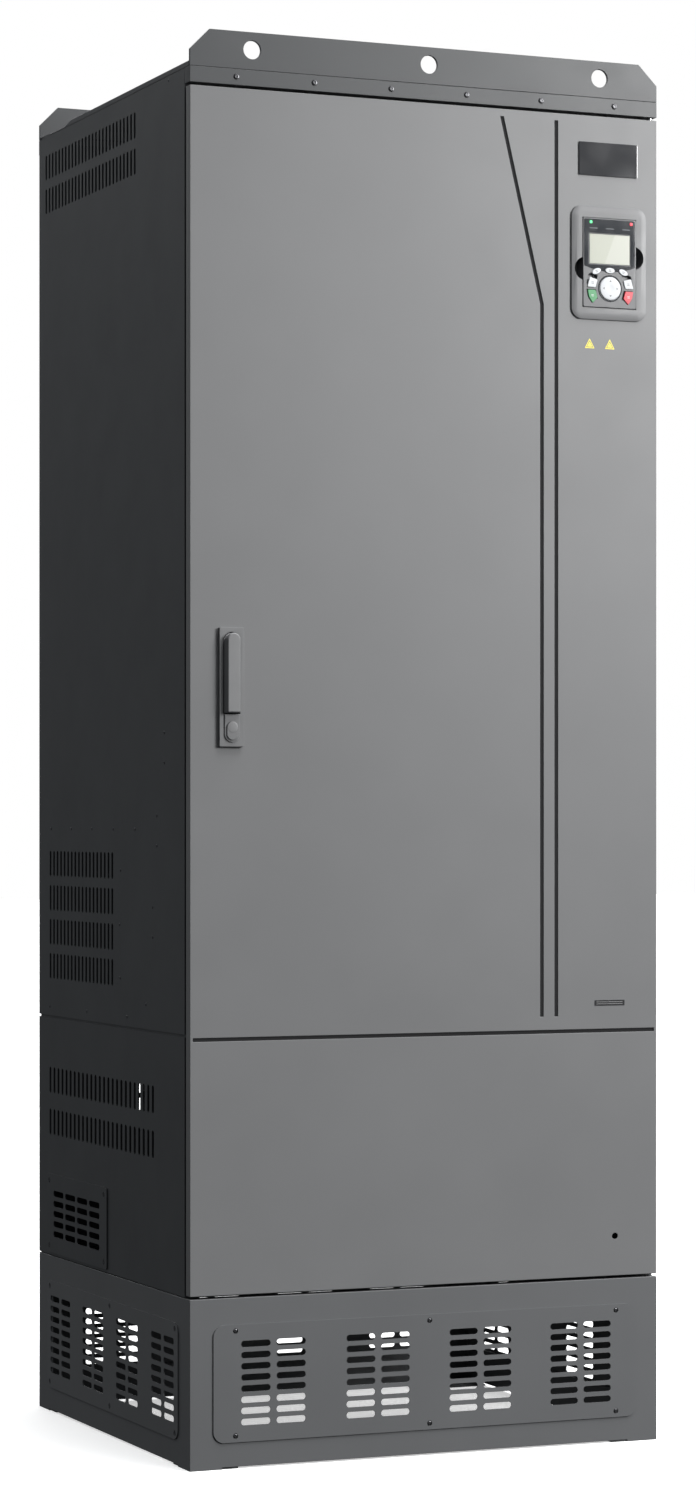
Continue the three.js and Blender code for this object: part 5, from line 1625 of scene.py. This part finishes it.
    def fan_hub(self, side: str) -> None:
        """Makes the round cap on a fan's hub.

        Args:
            side: which fan, left or right.
        """
        node = side + "_fan_impeller"
        middle, radius = Box(side + "_fan_housing").centre, self.hub_radius
        dome = [(0, -1 * MM), (radius * 0.8, -1 * MM), (radius * 0.95, -0.5 * MM), (radius, 0.2 * MM)]
        cap = turned([*dome, (radius, 1 * MM), (0, 1 * MM)], 40)
        piece = Piece(node + "_cap")
        piece.add(cap, self.paints.chip, Way.UP.at(middle.x, middle.y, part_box(node)[1].z))
        piece.finish(body_of(node), slot_of(node))


# ---------------------------------------------------------------- studio


@dataclass
class Studio:
    """The pale floor, the soft lights and the camera."""

    camera_place: Sequence[float] = (-1.9256, -4.5687, 0.7705)
    camera_turn: float = -22.954
    lens: float = 93.56
    shift: float = 0.0447
    floor_colour: Colour = (0.86, 0.86, 0.86)
    floor_glow: float = 0.55
    sky_colour: Colour = (0.92, 0.96, 1.0)
    # How steeply a direction goes up and how bright the backdrop is there, at its dark and bright ends.
    sky_from: Point = (-0.6, 0.0)
    sky_to: Point = (0.7, 0.30)

    def build(self) -> None:
        """Makes the floor, lights, world and camera."""
        self.floor()
        self.sun("sun", (0.45, -0.45, 1.5), 3.1, 35.0)
        self.sun("back_sun", (0.2, 0.9, 0.7), 1.2, 60.0)
        self.light("key", (2.9, -3.4, 2.4), (0.22, -0.28, 1.15), (1.5, 1.8), 228.0)
        self.light("side_light", (-2.3, 0.6, 3.2), (-0.3, 0.1, 1.7), (0.5, 0.5), 14.0)
        self.world()
        self.camera()

    def floor(self) -> None:
        """Makes the pale floor."""
        bm = bmesh.new()
        bmesh.ops.create_grid(bm, x_segments=2, y_segments=2, size=30.0)
        mesh = bpy.data.meshes.new("studio_floor")
        bm.to_mesh(mesh)
        bm.free()
        pale = Finish("studio_floor", self.floor_colour, 0.75)
        pale.set("Emission Color", (1.0, 1.0, 1.0, 1.0))
        pale.set("Emission Strength", self.floor_glow)
        mesh.materials.append(pale.material)
        floor = place_object("studio_floor", mesh)
        floor.visible_diffuse = False
        floor.visible_glossy = False

    def sun(self, name: str, direction: Sequence[float], strength: float, width: float) -> None:
        """Makes a broad light that falls on the floor and the drive alike.

        Args:
            name: what the light is called.
            direction: from the drive towards the light.
            strength: its strength in watts per square metre.
            width: how wide it looks from the drive, in degrees.
        """
        data = bpy.data.lights.new(name, "SUN")
        data.energy = strength
        data.angle = math.radians(width)
        place_object(name, data).rotation_euler = Vector(direction).to_track_quat("Z", "Y").to_euler()

    def light(
        self, name: str, place: Sequence[float], target: Sequence[float], size: Point, power: float
    ) -> None:
        """Makes a soft rectangular light.

        Args:
            name: what the light is called.
            place: where it stands.
            target: what it points at.
            size: its width and height.
            power: its power in watts.
        """
        data = bpy.data.lights.new(name, "AREA")
        data.shape = "RECTANGLE"
        data.size, data.size_y = size
        data.energy = power
        lamp = place_object(name, data)
        lamp.location = place
        lamp.rotation_euler = (Vector(target) - Vector(place)).to_track_quat("-Z", "Y").to_euler()

    def world(self) -> None:
        """Makes a white backdrop that lights the drive only a little, and more from above."""
        world = bpy.data.worlds.new("studio")
        world.use_nodes = True
        tree = world.node_tree
        seen = tree.nodes["Background"]
        feed(seen.inputs["Color"], (1.0, 1.0, 1.0, 1.0))
        feed(seen.inputs["Strength"], 1.0)
        direction = add_node(tree, "TexCoord").outputs["Generated"]
        height = add_node(tree, "SeparateXYZ", Vector=direction).outputs["Z"]
        rise = add_node(tree, "MapRange", From_Min=self.sky_from[0], To_Min=self.sky_from[1], Value=height)
        feed(rise.inputs["From Max"], self.sky_to[0])
        feed(rise.inputs["To Max"], self.sky_to[1])
        dim = add_node(tree, "Background", Color=(*self.sky_colour, 1.0), Strength=rise.outputs["Result"])
        path = add_node(tree, "LightPath")
        mix = add_node(tree, "MixShader", Fac=path.outputs["Is Camera Ray"])
        feed(mix.inputs[1], dim.outputs["Background"])
        feed(mix.inputs[2], seen.outputs["Background"])
        feed(tree.nodes["World Output"].inputs["Surface"], mix.outputs["Shader"])
        bpy.context.scene.world = world
        bpy.context.scene.view_settings.view_transform = "Standard"

    def camera(self) -> None:
        """Makes the camera: level, in front of the left corner."""
        data = bpy.data.cameras.new("camera")
        data.lens = self.lens
        data.shift_y = self.shift
        camera = place_object("camera", data)
        camera.location = self.camera_place
        camera.rotation_euler = (math.pi / 2, 0, math.radians(self.camera_turn))
        bpy.context.scene.camera = camera


def main() -> None:
    logging.basicConfig(level=logging.INFO, format="%(name)s: %(message)s")
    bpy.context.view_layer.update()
    paints = Paints()
    Studio().build()
    for assembly in (Plinth, Case, Door, SwingHandle, Keypad, PowerStage):
        assembly(paints).build()
        LOG.info("%s is built", assembly.__name__)


if __name__ == "__main__":
    main()
